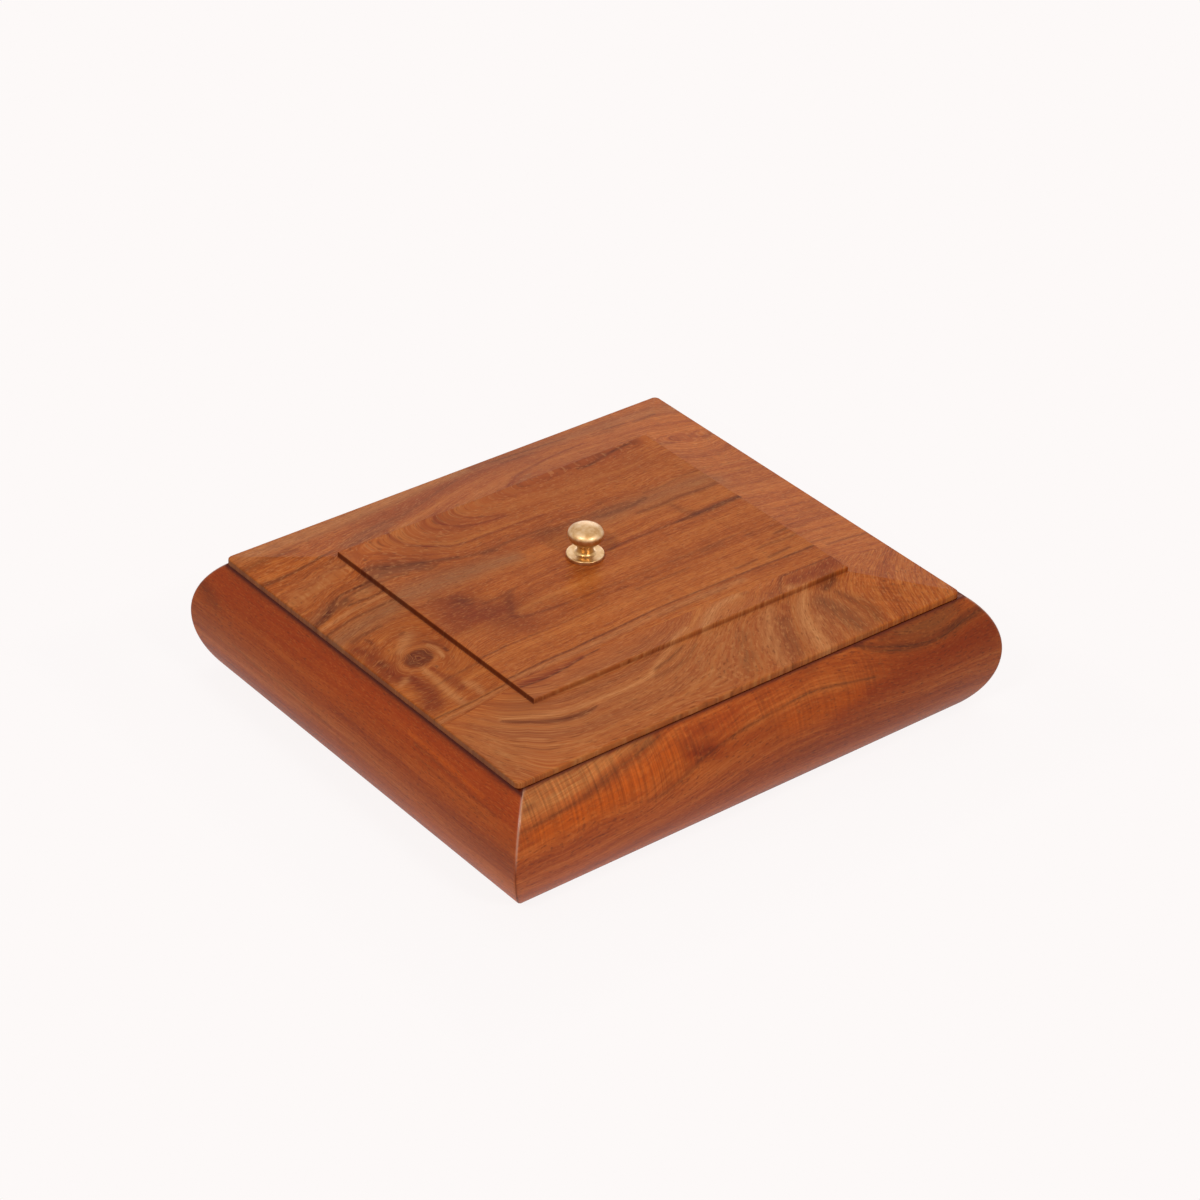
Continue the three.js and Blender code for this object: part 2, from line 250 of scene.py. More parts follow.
def lid_lower_section():
    """The lid's underside as (inset, height over the seat), from its edge in to the plug's face."""
    low = PLUG_ARRIS - PLUG_DEPTH
    return np.concatenate([
        refined([(LID_LOWER_ARRIS, 0), (PLUG_INSET, 0)], 2.5),
        arc(PLUG_INSET + PLUG_ARRIS, low, PLUG_ARRIS, PLUG_ARRIS, 180, 270, 4),
    ])


def rounded_plan(x, y):
    """Moves points near the plan's four corners so that square rings become rounded ones.

    In each corner's square the larger of the two distances from the square's inner vertex
    becomes the radius, and the direction stays.
    """
    a = np.abs(x) - (HALF_LENGTH - LID_CORNER)
    b = np.abs(y) - (HALF_WIDTH - LID_CORNER)
    near = (a > 0) & (b > 0)
    shrink = np.where(near, np.maximum(a, b) / np.where(near, np.hypot(a, b), 1), 1)
    new_x = np.where(near, np.sign(x) * (HALF_LENGTH - LID_CORNER + a * shrink), x)
    new_y = np.where(near, np.sign(y) * (HALF_WIDTH - LID_CORNER + b * shrink), y)
    return new_x, new_y


# How far from a corner the lid's skin has its closer stations, and what they keep clear after them
CORNER_STATIONS = np.array([0, 0.35, 0.75, 1.15, 1.6, 2.1, 2.7, 3.5, 4.6])
CORNER_CLEAR = 0.3


def shares(length, step, near_start, near_end):
    """Stations from 0 to 1 along an edge, closer together near the ends that turn a corner."""
    corner = CORNER_STATIONS / length
    clear = CORNER_CLEAR / length
    middle = np.linspace(0, 1, int(length / step) + 1)
    start = corner if near_start else np.array([0.0])
    end = 1 - (corner if near_end else np.array([0.0]))
    middle = middle[(middle > start.max() + clear) & (middle < end.min() - clear)]
    return np.sort(np.concatenate([start, middle, end]))


def thinned(stations):
    """The stations with each moved to the fourth one before it, the last kept in its place."""
    kept = np.arange(len(stations)) // 4 * 4
    kept[-1] = len(stations) - 1
    return stations[kept]


def lid_board(name, side, step_x, step_y):
    """A board of the lid. side is 1 for the one at the back of the glue line, -1 for the front.

    Its outer skin is rings of points at each inset of the section: three edges, left, far and
    right, that meet in the corners' diagonals, and inside them a flat rectangle that takes over
    their stations. The underside is made the same way with fewer stations, and the cut at the glue
    line is flat.
    """
    def glue(x):
        return GLUE_Y + side * GLUE_GAP / 2 + GLUE_TILT * x

    fine_across = shares(2 * HALF_LENGTH, step_x, True, True)
    fine_along = shares(HALF_WIDTH - side * GLUE_Y, step_y, False, True)
    grids = []
    for section, coarse in ((lid_upper_section(), False), (lid_lower_section(), True)):
        inset, height = section[:, :1], section[:, 1:]
        across, along = [np.tile(s, (len(section), 1)) for s in (fine_across, fine_along)]
        if coarse:
            across[1:], along[1:] = thinned(fine_across), thinned(fine_along)
        end = side * (HALF_WIDTH - inset)
        for way in (-1, 1):
            x = way * (HALF_LENGTH - inset) + 0 * along
            y = glue(x) + (end - glue(x)) * along
            grids.append((x, y, height + 0 * x))
        x = (HALF_LENGTH - inset) * (2 * across - 1)
        grids.append((x, end + 0 * x, height + 0 * x))
        x = x[-1] + 0 * along[-1][:, None]
        y = glue(x) + (end[-1] - glue(x)) * along[-1][:, None]
        grids.append((x, y, height[-1, 0] + 0 * x))
    solid = []
    for x, y, z in grids:
        x, y = rounded_plan(x, y)
        solid.append(np.stack([x + LID_MIDDLE, y, z + SEAT_Z], -1))
    return piece_from_grids(name, solid)


# The four rails

UPPER_RADIUS = (RAIL_BULGE ** 2 + (RAIL_TOP - RAIL_WIDEST) ** 2) / (2 * RAIL_BULGE)
FOOT_DROP = RAIL_BULGE - RAIL_FOOT_OVERHANG
LOWER_RADIUS = (FOOT_DROP ** 2 + RAIL_WIDEST ** 2) / (2 * FOOT_DROP)
UPPER_ANGLE = math.asin((RAIL_TOP - RAIL_WIDEST) / UPPER_RADIUS)
LOWER_ANGLE = math.asin((RAIL_WIDEST - RAIL_FOOT_ROUND) / (LOWER_RADIUS - RAIL_FOOT_ROUND))
UPPER_LENGTH = UPPER_RADIUS * UPPER_ANGLE

# Stations before a rail's mitre: first in millimetres, then as shares of the corner's rounding
MITRE_RUN = [6.0, 3.0, 1.8]
MITRE_TURN = np.array([1, 0.72, 0.5, 0.36, 1 - math.sqrt(0.5)])


def rail_section():
    """A rail's outline as (out, z): two tangent arcs outside, then foot, groove, wall and land."""
    upper = math.degrees(UPPER_ANGLE)
    lower = math.degrees(LOWER_ANGLE)
    foot = arc(RAIL_BULGE - LOWER_RADIUS, RAIL_WIDEST, LOWER_RADIUS, LOWER_RADIUS, 0, -lower, 52)
    foot_out = foot[-1, 0] - RAIL_FOOT_ROUND * math.cos(LOWER_ANGLE)
    inner = [
        (-RAIL_LAND, GROOVE_LOW),
        (GROOVE_DEPTH - RAIL_LAND, GROOVE_LOW),
        (GROOVE_DEPTH - RAIL_LAND, GROOVE_HIGH),
        (-RAIL_LAND, GROOVE_HIGH),
    ]
    low_inner = (RAIL_ARRIS - RAIL_LAND, RAIL_ARRIS)
    top_inner = (RAIL_ARRIS - RAIL_LAND, RAIL_TOP - RAIL_ARRIS)
    return np.concatenate([
        arc(RAIL_BULGE - UPPER_RADIUS, RAIL_WIDEST, UPPER_RADIUS, UPPER_RADIUS, upper, 0, 52),
        foot[1:],
        arc(foot_out, RAIL_FOOT_ROUND, RAIL_FOOT_ROUND, RAIL_FOOT_ROUND, -lower, -90, 6)[1:],
        refined([(foot_out - 0.5, 0), (RAIL_ARRIS - RAIL_LAND, 0)], 3.0),
        arc(*low_inner, RAIL_ARRIS, RAIL_ARRIS, 270, 180, 4)[1:],
        refined(inner, 2.0),
        refined([(-RAIL_LAND, GROOVE_HIGH + 0.5), (-RAIL_LAND, RAIL_TOP - RAIL_ARRIS)], 2.0),
        arc(*top_inner, RAIL_ARRIS, RAIL_ARRIS, 180, 90, 4)[1:],
        refined([(RAIL_ARRIS - RAIL_LAND + 0.5, RAIL_TOP), (0, RAIL_TOP)], 3.0),
    ])


def rail(name, half_span, turn, offset):
    """A rail as its outline carried along the side, each end sliding out with the outline.

    That slide makes the 45 degree mitre. Towards the mitre the outside is drawn in along a circle
    of the corner's rounding, in every level slice, so that two rails meet in one rounded corner.
    """
    section = rail_section()
    out, z = section[:, :1], section[:, 1:]
    radius = MITRE_ROUND * np.clip(out / 2, 0, 1)
    turned = radius * MITRE_TURN
    straight = np.tile(MITRE_RUN, (len(section), 1))
    near = np.concatenate([straight, turned], 1)
    sink = radius - np.sqrt(radius ** 2 - (radius - turned) ** 2)
    sink = np.concatenate([0 * straight, sink], 1)
    reach = half_span + out - MITRE_GAP * math.sqrt(0.5)
    middle = np.linspace(-1, 1, int(2 * half_span / RAIL_STEP)) * (reach - near[:, :1] - RAIL_STEP)
    x = np.concatenate([(near - reach)[:, ::-1], middle, reach - near], 1)
    y = np.concatenate([sink[:, ::-1], 0 * middle, sink], 1) - out
    z = z + 0 * x
    local = np.stack([x, y, z], -1)
    local = np.concatenate([local, local[:1]])
    c, s = round(math.cos(turn)), round(math.sin(turn))
    placed = np.stack([
        c * local[..., 0] - s * local[..., 1] + offset[0],
        s * local[..., 0] + c * local[..., 1] + offset[1],
        local[..., 2],
    ], -1)
    return piece_from_grids(name, [placed], crease=30.0)


def rail_coordinates(piece, turn, offset):
    """Each vertex's way along its rail, down round the section and outwards, in millimetres.

    The second is the arc length from the lid's edge down the outside; inside it counts on from
    the top with a minus sign.
    """
    place = vertex_places(piece)
    c, s = round(math.cos(turn)), round(math.sin(turn))
    dx, dy = place[:, 0] - offset[0], place[:, 1] - offset[1]
    along = c * dx + s * dy
    out = s * dx - c * dy
    z = place[:, 2]
    upper = UPPER_RADIUS * (UPPER_ANGLE - np.arctan2(z - RAIL_WIDEST, out - RAIL_BULGE + UPPER_RADIUS))
    lower = UPPER_LENGTH + LOWER_RADIUS * np.arctan2(RAIL_WIDEST - z, out - RAIL_BULGE + LOWER_RADIUS)
    outside = np.where(z > RAIL_WIDEST, upper, lower)
    down = np.where(out > -0.01, outside, out - (RAIL_TOP - z))
    return along, down, out


# The knob

KNOB_CENTRE = (KNOB_LOW + KNOB_HIGH) / 2
KNOB_SEAT = KNOB_LOW[2]
FLANGE_RADIUS = (KNOB_HIGH[0] - KNOB_LOW[0]) / 2
FLANGE_THICKNESS = 1.6
FLANGE_ROUND = 0.35
NECK_RADIUS = 3.45
NECK_FILLET = 1.5
HEAD_RADIUS = 7.55
HEAD_WIDEST = 10.9
HEAD_CROWN = KNOB_HIGH[2] - KNOB_SEAT - HEAD_WIDEST
HEAD_UNDERSIDE = 4.6
SCREW_BORE = 2.3
SCREW_BORE_DEPTH = 7.5


def turned_piece(name, section, centre, base, turns):
    """A turning: the outline of (radius, height) carried round an upright axis."""
    angle = np.linspace(0, 2 * math.pi, turns + 1)
    angle[-1] = 0
    radius, height = section[:, :1], section[:, 1:]
    x = centre[0] + radius * np.cos(angle)
    y = centre[1] + radius * np.sin(angle)
    z = np.broadcast_to(base + height, x.shape)
    return piece_from_grids(name, [np.stack([x, y, z], -1)], crease=40.0)


def knob():
    """Flange, concave neck and flattened round head, from ellipse arcs."""
    rim = FLANGE_RADIUS - FLANGE_ROUND
    rim_z = FLANGE_THICKNESS - FLANGE_ROUND
    fillet_z = FLANGE_THICKNESS + NECK_FILLET
    neck_top = HEAD_WIDEST - HEAD_UNDERSIDE
    overhang = HEAD_RADIUS - NECK_RADIUS
    section = np.concatenate([
        [[0, SCREW_BORE_DEPTH], [SCREW_BORE, SCREW_BORE_DEPTH], [SCREW_BORE, 0]],
        arc(rim, FLANGE_ROUND, FLANGE_ROUND, FLANGE_ROUND, -90, 0, 6),
        arc(rim, rim_z, FLANGE_ROUND, FLANGE_ROUND, 0, 90, 6),
        refined([(rim - 0.3, FLANGE_THICKNESS), (NECK_RADIUS + NECK_FILLET + 0.2, FLANGE_THICKNESS)], 0.5),
        arc(NECK_RADIUS + NECK_FILLET, fillet_z, NECK_FILLET, NECK_FILLET, 270, 180, 12),
        refined([(NECK_RADIUS, fillet_z + 0.3), (NECK_RADIUS, neck_top - 0.2)], 0.4),
        arc(NECK_RADIUS, HEAD_WIDEST, overhang, HEAD_UNDERSIDE, -90, 0, 24),
        arc(0, HEAD_WIDEST, HEAD_RADIUS, HEAD_CROWN, 0, 90, 30)[1:],
    ])
    section[-1, 0] = 0
    return turned_piece("turned_brass_knob", section, KNOB_CENTRE, KNOB_SEAT, 144)


# Figure of the wood: strokes and grain lines in millimetres

def smooth_line(points, cuts=6):
    """A line of given points made smooth: a Catmull-Rom curve through its points."""
    p = np.asarray(points, float)
    p = np.concatenate([2 * p[:1] - p[1:2], p, 2 * p[-1:] - p[-2:-1]])
    share = (np.arange(cuts) / cuts)[:, None]
    out = []
    for a, b, c, d in zip(p, p[1:], p[2:], p[3:]):
        out.append(0.5 * (2 * b + (c - a) * share + (2 * a - 5 * b + 4 * c - d) * share ** 2
                          + (3 * b - a - 3 * c + d) * share ** 3))
    return np.concatenate([*out, p[-2:-1]])


def stroke(where, points, strength, hardness=2.0):
    """How much of a stroke lies on each place of where.

    points are (u, v, half width). On the line the amount is strength, and it falls off as
    exp(-(distance / half width) ** hardness).
    """
    line = smooth_line(points) if len(points) > 2 else np.asarray(points, float)
    reach = 2.2 * line[:, 2].max()
    low, high = line[:, :2].min(0) - reach, line[:, :2].max(0) + reach
    near = np.flatnonzero(((where > low) & (where < high)).all(1))
    amount = np.zeros(len(where))
    spot = where[near]
    best = np.zeros(len(near))
    for start, end in zip(line[:-1], line[1:]):
        step = end[:2] - start[:2]
        share = np.clip((spot - start[:2]) @ step / max(step @ step, 1e-9), 0, 1)
        gap = np.linalg.norm(spot - start[:2] - share[:, None] * step, axis=1)
        width = start[2] + (end[2] - start[2]) * share
        best = np.maximum(best, np.exp(-(gap / width) ** hardness))
    amount[near] = best * strength
    return amount


def painted(where, strokes):
    """The strokes laid over each other: what each leaves uncovered is multiplied."""
    clear = np.ones(len(where))
    for hardness, strength, points in strokes:
        clear *= 1 - stroke(where, points, strength, hardness)
    return 1 - clear


def grain_field(where, lines):
    """A smooth height whose contours run along the grain lines, as a thin plate spline.

    lines are (height, points). The spline is a plane plus a sum of r^2 log r around each point.
    """
    spots = np.concatenate([np.asarray(points, float) for _, points in lines])
    heights = np.concatenate([np.full(len(points), float(level)) for level, points in lines])

    def kernel(a, b):
        square = ((a[:, None] - b[None]) ** 2).sum(-1) / 1e4
        return square * np.log(square + 1e-9)

    count = len(spots)
    plane = np.concatenate([np.ones((count, 1)), spots / 100], 1)
    matrix = np.zeros((count + 3, count + 3))
    matrix[:count, :count] = kernel(spots, spots) + 1e-3 * np.eye(count)
    matrix[:count, count:] = plane
    matrix[count:, :count] = plane.T
    weights = np.linalg.solve(matrix, np.concatenate([heights, np.zeros(3)]))
    out = np.empty(len(where))
    for start in range(0, len(where), 20000):
        part = where[start:start + 20000]
        plane = np.concatenate([np.ones((len(part), 1)), part / 100], 1)
        out[start:start + 20000] = kernel(part, spots) @ weights[:count] + plane @ weights[count:]
    return out


# The lid's figure. Places are (X, Y) seen from above, widths are half widths.

BACK_GRAIN = [
    (-14, [(-115, 96), (-80, 96), (-50, 97), (-30, 99)]),
    (-8, [(-115, 87), (-100, 85.5), (-90, 85), (-80, 87), (-60, 89), (-40, 90.5), (-20, 94), (-8, 97)]),
    (0, [(-115, 72), (-100, 70.5), (-90, 70.5), (-80, 71.5), (-70, 75), (-60, 78), (-50, 79.5),
         (-40, 80), (-32, 81.5), (-22, 85), (-10, 89), (0, 92), (15, 94), (30, 93.5), (45, 92.5),
         (60, 91), (80, 89.5), (100, 87.5), (115, 85.5)]),
    (4, [(-115, 66), (-95, 66), (-82, 67), (-70, 70), (-60, 73), (-50, 75.5), (-38, 76.5), (-30, 79),
         (-15, 84.5), (0, 88), (20, 89.5), (40, 88.5), (60, 87), (80, 85), (100, 83), (115, 81)]),
    (9, [(-57, 61), (-54, 66), (-48, 70.5), (-38, 73.5), (-28, 76), (-15, 80.5), (0, 84), (20, 86),
         (45, 84.5), (70, 82), (95, 79), (115, 77)]),
    (9, [(-56.5, 56.5), (-52, 51), (-46, 45.5), (-40, 41.5), (-30, 40.8), (-15, 40.5), (0, 40.5),
         (20, 40), (60, 39.5), (115, 38)]),
    (16, [(-35, 62), (-31, 67), (-22, 71.5), (-10, 75.5), (5, 79), (25, 81.5), (50, 79.5),
          (80, 76.5), (115, 73)]),
    (16, [(-33.5, 58), (-28, 54), (-20, 51), (-10, 49.5), (10, 48.5), (40, 48.5), (80, 48), (115, 47)]),
    (22, [(-18, 61.5), (-14, 66), (-4, 70), (8, 74), (22, 77), (45, 75), (80, 72), (115, 69)]),
    (22, [(-12, 57.5), (0, 54.5), (20, 53), (50, 53), (80, 54), (115, 53)]),
    (28, [(10, 63), (30, 63), (45, 62), (60, 63), (75, 65), (95, 64), (115, 62)]),
    (5.5, [(-115, 60), (-99, 60.5), (-84, 61)]),
    (7, [(-115, 54), (-99, 54), (-84, 55)]),
    (5.5, [(-115, 48), (-101, 49.5), (-90, 50.5)]),
    (2, [(-115, 38), (-108, 40), (-101, 44), (-95, 46), (-88, 46), (-82, 45.5), (-78, 47.5),
         (-70, 43.5), (-60, 39), (-50, 35), (-40, 32), (-30, 31), (-10, 30), (20, 29.5), (50, 29),
         (80, 28.5), (115, 28)]),
    (-2, [(-115, 33), (-100, 35.5), (-90, 36), (-82, 35), (-70, 33.5), (-60, 32), (-45, 29),
          (-30, 28), (0, 27), (30, 26.5), (60, 25.5), (90, 25), (115, 24.5)]),
    (-8, [(-115, 25), (-100, 27), (-82, 26), (-60, 25), (-40, 23), (0, 22), (60, 21), (115, 20)]),
    (-18, [(-115, 12), (-105, 15), (-96, 16), (-88, 15), (-80, 12), (-60, 10), (-30, 11), (0, 11),
           (40, 12), (80, 11), (115, 10)]),
    (-27, [(-115, 2), (-107, 6), (-97, 8), (-88, 5), (-82, 1), (-70, 0), (-50, -1), (-40, 1),
           (-20, 2), (40, 2.3), (80, 2), (115, 2)]),
    (-37, [(-80, -10), (-60, -10), (0, -9), (60, -9), (115, -9)]),
    (-47, [(-115, -22), (-106, -27), (-97, -29), (-88, -27), (-82, -24), (-60, -20), (-40, -19),
           (0, -20), (40, -20), (80, -20.5), (115, -19)]),
    (-56, [(-115, -31), (-95, -32), (-80, -30.5), (-40, -30), (0, -28.5), (40, -28), (80, -28.5),
           (115, -28)]),
    (-66, [(-115, -40), (-80, -41), (-40, -38.5), (0, -37.5), (40, -38), (80, -39), (115, -38)]),
    (-73, [(-115, -46), (-105, -47.3), (-95, -48.3), (-82, -49), (-70, -48), (-50, -47.5),
           (-30, -46.3), (-10, -44.8), (0, -44.3), (40, -44.5), (80, -45), (115, -43)]),
    (-81, [(-115, -53), (-60, -53), (0, -53), (60, -53), (115, -53)]),
]

FRONT_GRAIN = [
    (0, [(-90, -55), (-84, -61), (-76, -65), (-60, -67.5), (-40, -67.5), (-25, -66), (-12, -62),
         (0, -56)]),
    (12, [(-100, -60), (-97, -65), (-92, -70), (-86, -75), (-78, -79), (-68, -80.5), (-60, -80),
          (-40, -79), (-28, -77), (-18, -74), (-8, -69.5), (0, -65), (8, -60), (15, -55)]),
    (20, [(-108, -60), (-102, -72), (-96, -80), (-85, -86), (-65, -89), (-40, -88), (-20, -84),
          (-5, -77), (8, -70), (20, -62), (30, -56)]),
    (28, [(-113, -62), (-110, -75), (-106, -88), (-98, -98)]),
    (26, [(-5, -98), (5, -88), (14, -78), (24, -68), (38, -58)]),
    (32, [(22, -98), (27, -88), (34, -76), (42, -68), (52, -60)]),
    (38, [(36, -98), (41, -86), (47, -75), (55, -66), (65, -58)]),
    (45, [(50, -98), (54, -86), (58, -75), (66, -66), (78, -58)]),
    (54, [(70, -98), (72, -88), (72, -80), (77, -72), (88, -62), (98, -56)]),
    (63, [(84, -98), (87, -88), (90, -80), (97, -71), (108, -62), (115, -57)]),
    (72, [(100, -98), (104, -88), (110, -80), (115, -74)]),
]

# Each stroke is (hardness, strength, points of (u, v, half width)).

BACK_STAIN = [
    (3, .75, [(-115, 72.5, 1.6), (-108, 71, 1.3), (-100, 70.5, 1.1), (-92, 70.5, .9), (-85, 71.2, .8),
              (-80, 72, .6)]),
    (2, .4, [(-80, 72, .6), (-70, 75.5, .9), (-60, 78, 1.2), (-50, 79.3, 1.3), (-40, 80, 1.3),
             (-32, 81.8, 1.2), (-22, 85, 1.2), (-12, 88.5, 1.1), (-2, 91.5, .9)]),
    (2, .25, [(-72, 71, 1), (-60, 73, 1.2), (-50, 74.5, 1.2), (-42, 77.5, 1.2), (-35, 79.5, 1)]),
    (2, .45, [(-115, 86.5, 2.5), (-105, 86, 2), (-97, 85, 1.6), (-90, 84, 1.2)]),
    (2, .25, [(-97, 86.5, 1), (-85, 88, 1), (-75, 89, 1), (-60, 89.5, 1), (-45, 91, 1), (-30, 92, 1),
              (-15, 95, 1)]),
    (3, .85, [(-115, 34.5, 1.8), (-110, 36.2, 1.8), (-106, 38, 1.5), (-103, 41, 1.3), (-99, 43.2, .9),
              (-95, 44, .8), (-90, 43.6, .8), (-82, 43, .8)]),
    (2, .6, [(-108, 37, 2.2), (-103, 38.5, 2.4), (-98, 39, 2.2), (-96, 39.5, 1.6)]),
    (2, .5, [(-97, 41, .7), (-90, 41.2, .6), (-83, 41, .6)]),
    (2, .7, [(-97, 36, .8), (-92, 35.2, .8), (-88, 34.2, .8), (-82, 34, .8)]),
    (2, .6, [(-115, 26.5, .9), (-108, 27.5, .8), (-100, 28, .7), (-90, 27, .7), (-83, 26.5, .7)]),
    (2, .5, [(-110, 16, 1.6), (-104, 16.5, 1), (-96, 16, .8)]),
    (2.5, .65, [(-81, 48, 1.6), (-76, 47, 2.2), (-71, 44.5, 2.4), (-66, 42, 1.8), (-60, 39.5, 1.5),
                (-54, 37, 1.3), (-48, 35, 1.2), (-44, 34, .8)]),
    (2, .5, [(-81, 36.8, .8), (-74, 36.8, .8), (-68, 36, .8)]),
    (3, .3, [(-81, 43, 4), (-74, 41.5, 4), (-66, 39, 3), (-58, 36.5, 2)]),
    (2, .45, [(-63, 35.5, 1.2), (-60, 33.5, 1.5), (-55, 34, 1.2)]),
    (2, .5, [(-45, 33, .8), (-38, 31.5, 1), (-33, 31, 1), (-25, 30.8, 1), (-18, 31.2, .9),
             (-10, 31, .9), (0, 30.5, .7)]),
    (2, .6, [(-34, 29.8, 1.4), (-28, 29, 1.2)]),
    (2, .4, [(-10, 28.5, 1.2), (0, 28, 1.6), (10, 27.8, 1.6), (20, 28, 1.6), (30, 27.5, 1.4),
             (40, 26.5, 1)]),
    (2, .55, [(20, 25, 1.2), (28, 24, 1.5), (38, 23.5, 1.5), (48, 25, 1.2)]),
    (2, .35, [(50, 28.5, .9), (60, 28, .9), (70, 29.5, .9), (80, 29.5, .9)]),
    (2, .5, [(38, 17.5, 1.2), (50, 17, 1.5), (60, 17.5, 1.5), (70, 16.5, 1.4), (80, 17, 1.2)]),
    (3, .8, [(46, 2.2, .5), (52, 2, 1.2), (58, 2.2, 1.8), (65, 2.2, 1.9), (72, 2.5, 1.7),
             (78, 2.5, 1.6), (82.5, 2.3, 1.5)]),
    (2, .45, [(10, 1.8, .4), (15, 2.2, .45), (22, 2.8, .4), (30, 2, .45), (38, 2.3, .5), (48, 2.2, .6)]),
    (2, .4, [(53.5, 14, 1.6), (54, 10, 2.2), (55, 6.5, 2.4), (57, 4, 2)]),
    (2, .85, [(-115, -45.8, .55), (-108, -46.8, .55), (-100, -47.8, .55), (-92, -48.4, .55),
              (-85, -48.6, .55), (-82, -48.8, .55), (-78, -49, .55), (-70, -48.2, .55),
              (-60, -47.6, .55), (-50, -47.5, .55), (-42, -47, .55), (-30, -46.2, .5),
              (-20, -45.6, .5), (-10, -44.9, .5)]),
    (2, .75, [(-10, -44.9, .5), (0, -44.3, .5), (20, -44.3, .5), (40, -44.5, .5), (60, -45, .5),
              (81, -45.5, .5)]),
    (2, .6, [(43, -40, .6), (48, -40.3, .7), (55, -39.8, .6)]),
    (2, .6, [(60, -41.5, .8), (66, -41, .9), (72, -40.5, .8)]),
    (2, .5, [(60, -34, .7), (66, -33.5, .9), (76, -34.5, .9), (81, -34, .7)]),
    (2, .65, [(74, -28.7, .7), (79, -28.5, .9), (83, -28.2, .8)]),
    (2, .6, [(84, -39.8, .5), (90, -39.5, .5), (96, -39.3, .5)]),
    (2, .55, [(90, -44, .6), (96, -43.5, .7), (102, -43, .7), (110, -42.8, .7), (115, -42.5, .7)]),
    (2, .35, [(66, -45.3, .8), (72, -45.5, .9), (80, -45.5, .8)]),
    (2, .35, [(88, -26.5, .8), (93, -26, .8)]),
    (2, .35, [(84, -32.5, .5), (95, -31.5, .5), (105, -31, .5)]),
    (2, .35, [(88, -19.5, .7), (92, -19, .7)]),
    (2, .25, [(97, -18, .7), (104, -17.5, .7)]),
    (2, .25, [(90, -9, .5), (100, -9.5, .5), (108, -9.5, .5)]),
    (2, .3, [(40, -22, 1), (46, -21.5, 1.2), (52, -22, 1)]),
    (2, .45, [(-63.5, 6.5, 3.6), (-62.5, 5.5, 3.6)]),
    (2, .3, [(-71, 14.5, 2.2), (-70, 14, 2.2)]),
    (2, .3, [(62, -23, .6), (68, -22, .6)]),
    (2, .45, [(0, -28.5, .6), (8, -28.3, .6), (18, -28.4, .6), (28, -28.2, .6)]),
    (2, .35, [(-42, -18.8, .8), (-30, -19.6, .8), (-10, -20, .8), (30, -20.3, .8), (60, -20, .8)]),
    (2, .55, [(-82, -31, .6), (-75, -30.8, .6), (-68, -30, .7)]),
    (2, .35, [(-68, -30.4, .5), (-50, -30.2, .6), (-30, -30, .6), (-15, -28.8, .6)]),
    (2, .35, [(-57, -.2, .7), (-50, -.5, .9), (-42, .8, .9), (-38, 1.6, .6)]),
    (2, .3, [(-44, -1.5, 1.6), (-47.5, -4.5, 2.4), (-48.5, -8, 1.8), (-51.5, -12, 1.4),
             (-53, -14.8, 1), (-50.5, -17, .8), (-45, -18.4, .8)]),
    (2, .25, [(-15, -41, .7), (0, -41, .7), (10, -40.5, .7)]),
    (2, .35, [(-5, -49, .8), (10, -49.3, .8), (30, -49, .8)]),
    (2, .5, [(20, 95.5, .7), (32, 94.5, .8), (45, 93.3, .8), (58, 92, .6)]),
    (2, .4, [(22, 91.8, .7), (30, 91, .7), (38, 90.5, .7)]),
    (2, .45, [(75, 87.5, .7), (80, 86.8, .8), (86, 86.2, .7)]),
    (2, .45, [(90, 84, .8), (96, 83.8, .9), (102, 84.5, .8)]),
    (2, .3, [(68, 85, .8), (78, 83.5, .8)]),
    (2, .75, [(40, 60.5, 1), (46, 60, .9), (52, 61.5, .9), (58, 62.7, .9), (65, 63.8, .8),
              (72, 64.2, .6)]),
    (2, .5, [(34, 64.3, .8), (37, 63, .8)]),
    (2, .4, [(84, 59.5, 1.2), (90, 58.5, 1.5)]),
    (2, .35, [(108, 57, 2), (115, 60, 2.5)]),
    (2, .3, [(84, 33.5, .5), (98, 33, .5), (112, 32.5, .5)]),
    (2, .3, [(84, 26.5, .5), (100, 26, .5), (114, 25.5, .5)]),
    (2, .3, [(84, 14.5, .5), (98, 14, .5), (112, 14, .5)]),
    (2, .5, [(-53, 67, .6), (-51.5, 68, .6)]),
    (2, .5, [(-105.5, 13.5, .6), (-104.6, 11.5, .7), (-105.4, 9.4, .6)]),
    (3, .6, [(-109.5, -3.5, 2), (-109, -5.5, 1.6)]),
    (2, .45, [(-89.5, -4, .6), (-87.5, -8, .7), (-86, -12, .7), (-86.3, -15.3, .7)]),
    (3, .8, [(-86.2, -13.6, .5), (-86, -15.4, .8)]),
    (2, .5, [(-93.5, 6.3, .7), (-92, 6.1, .6)]),
    (2, .45, [(-103, -30, .5), (-95, -29.8, .6), (-82, -30.4, .6)]),
]

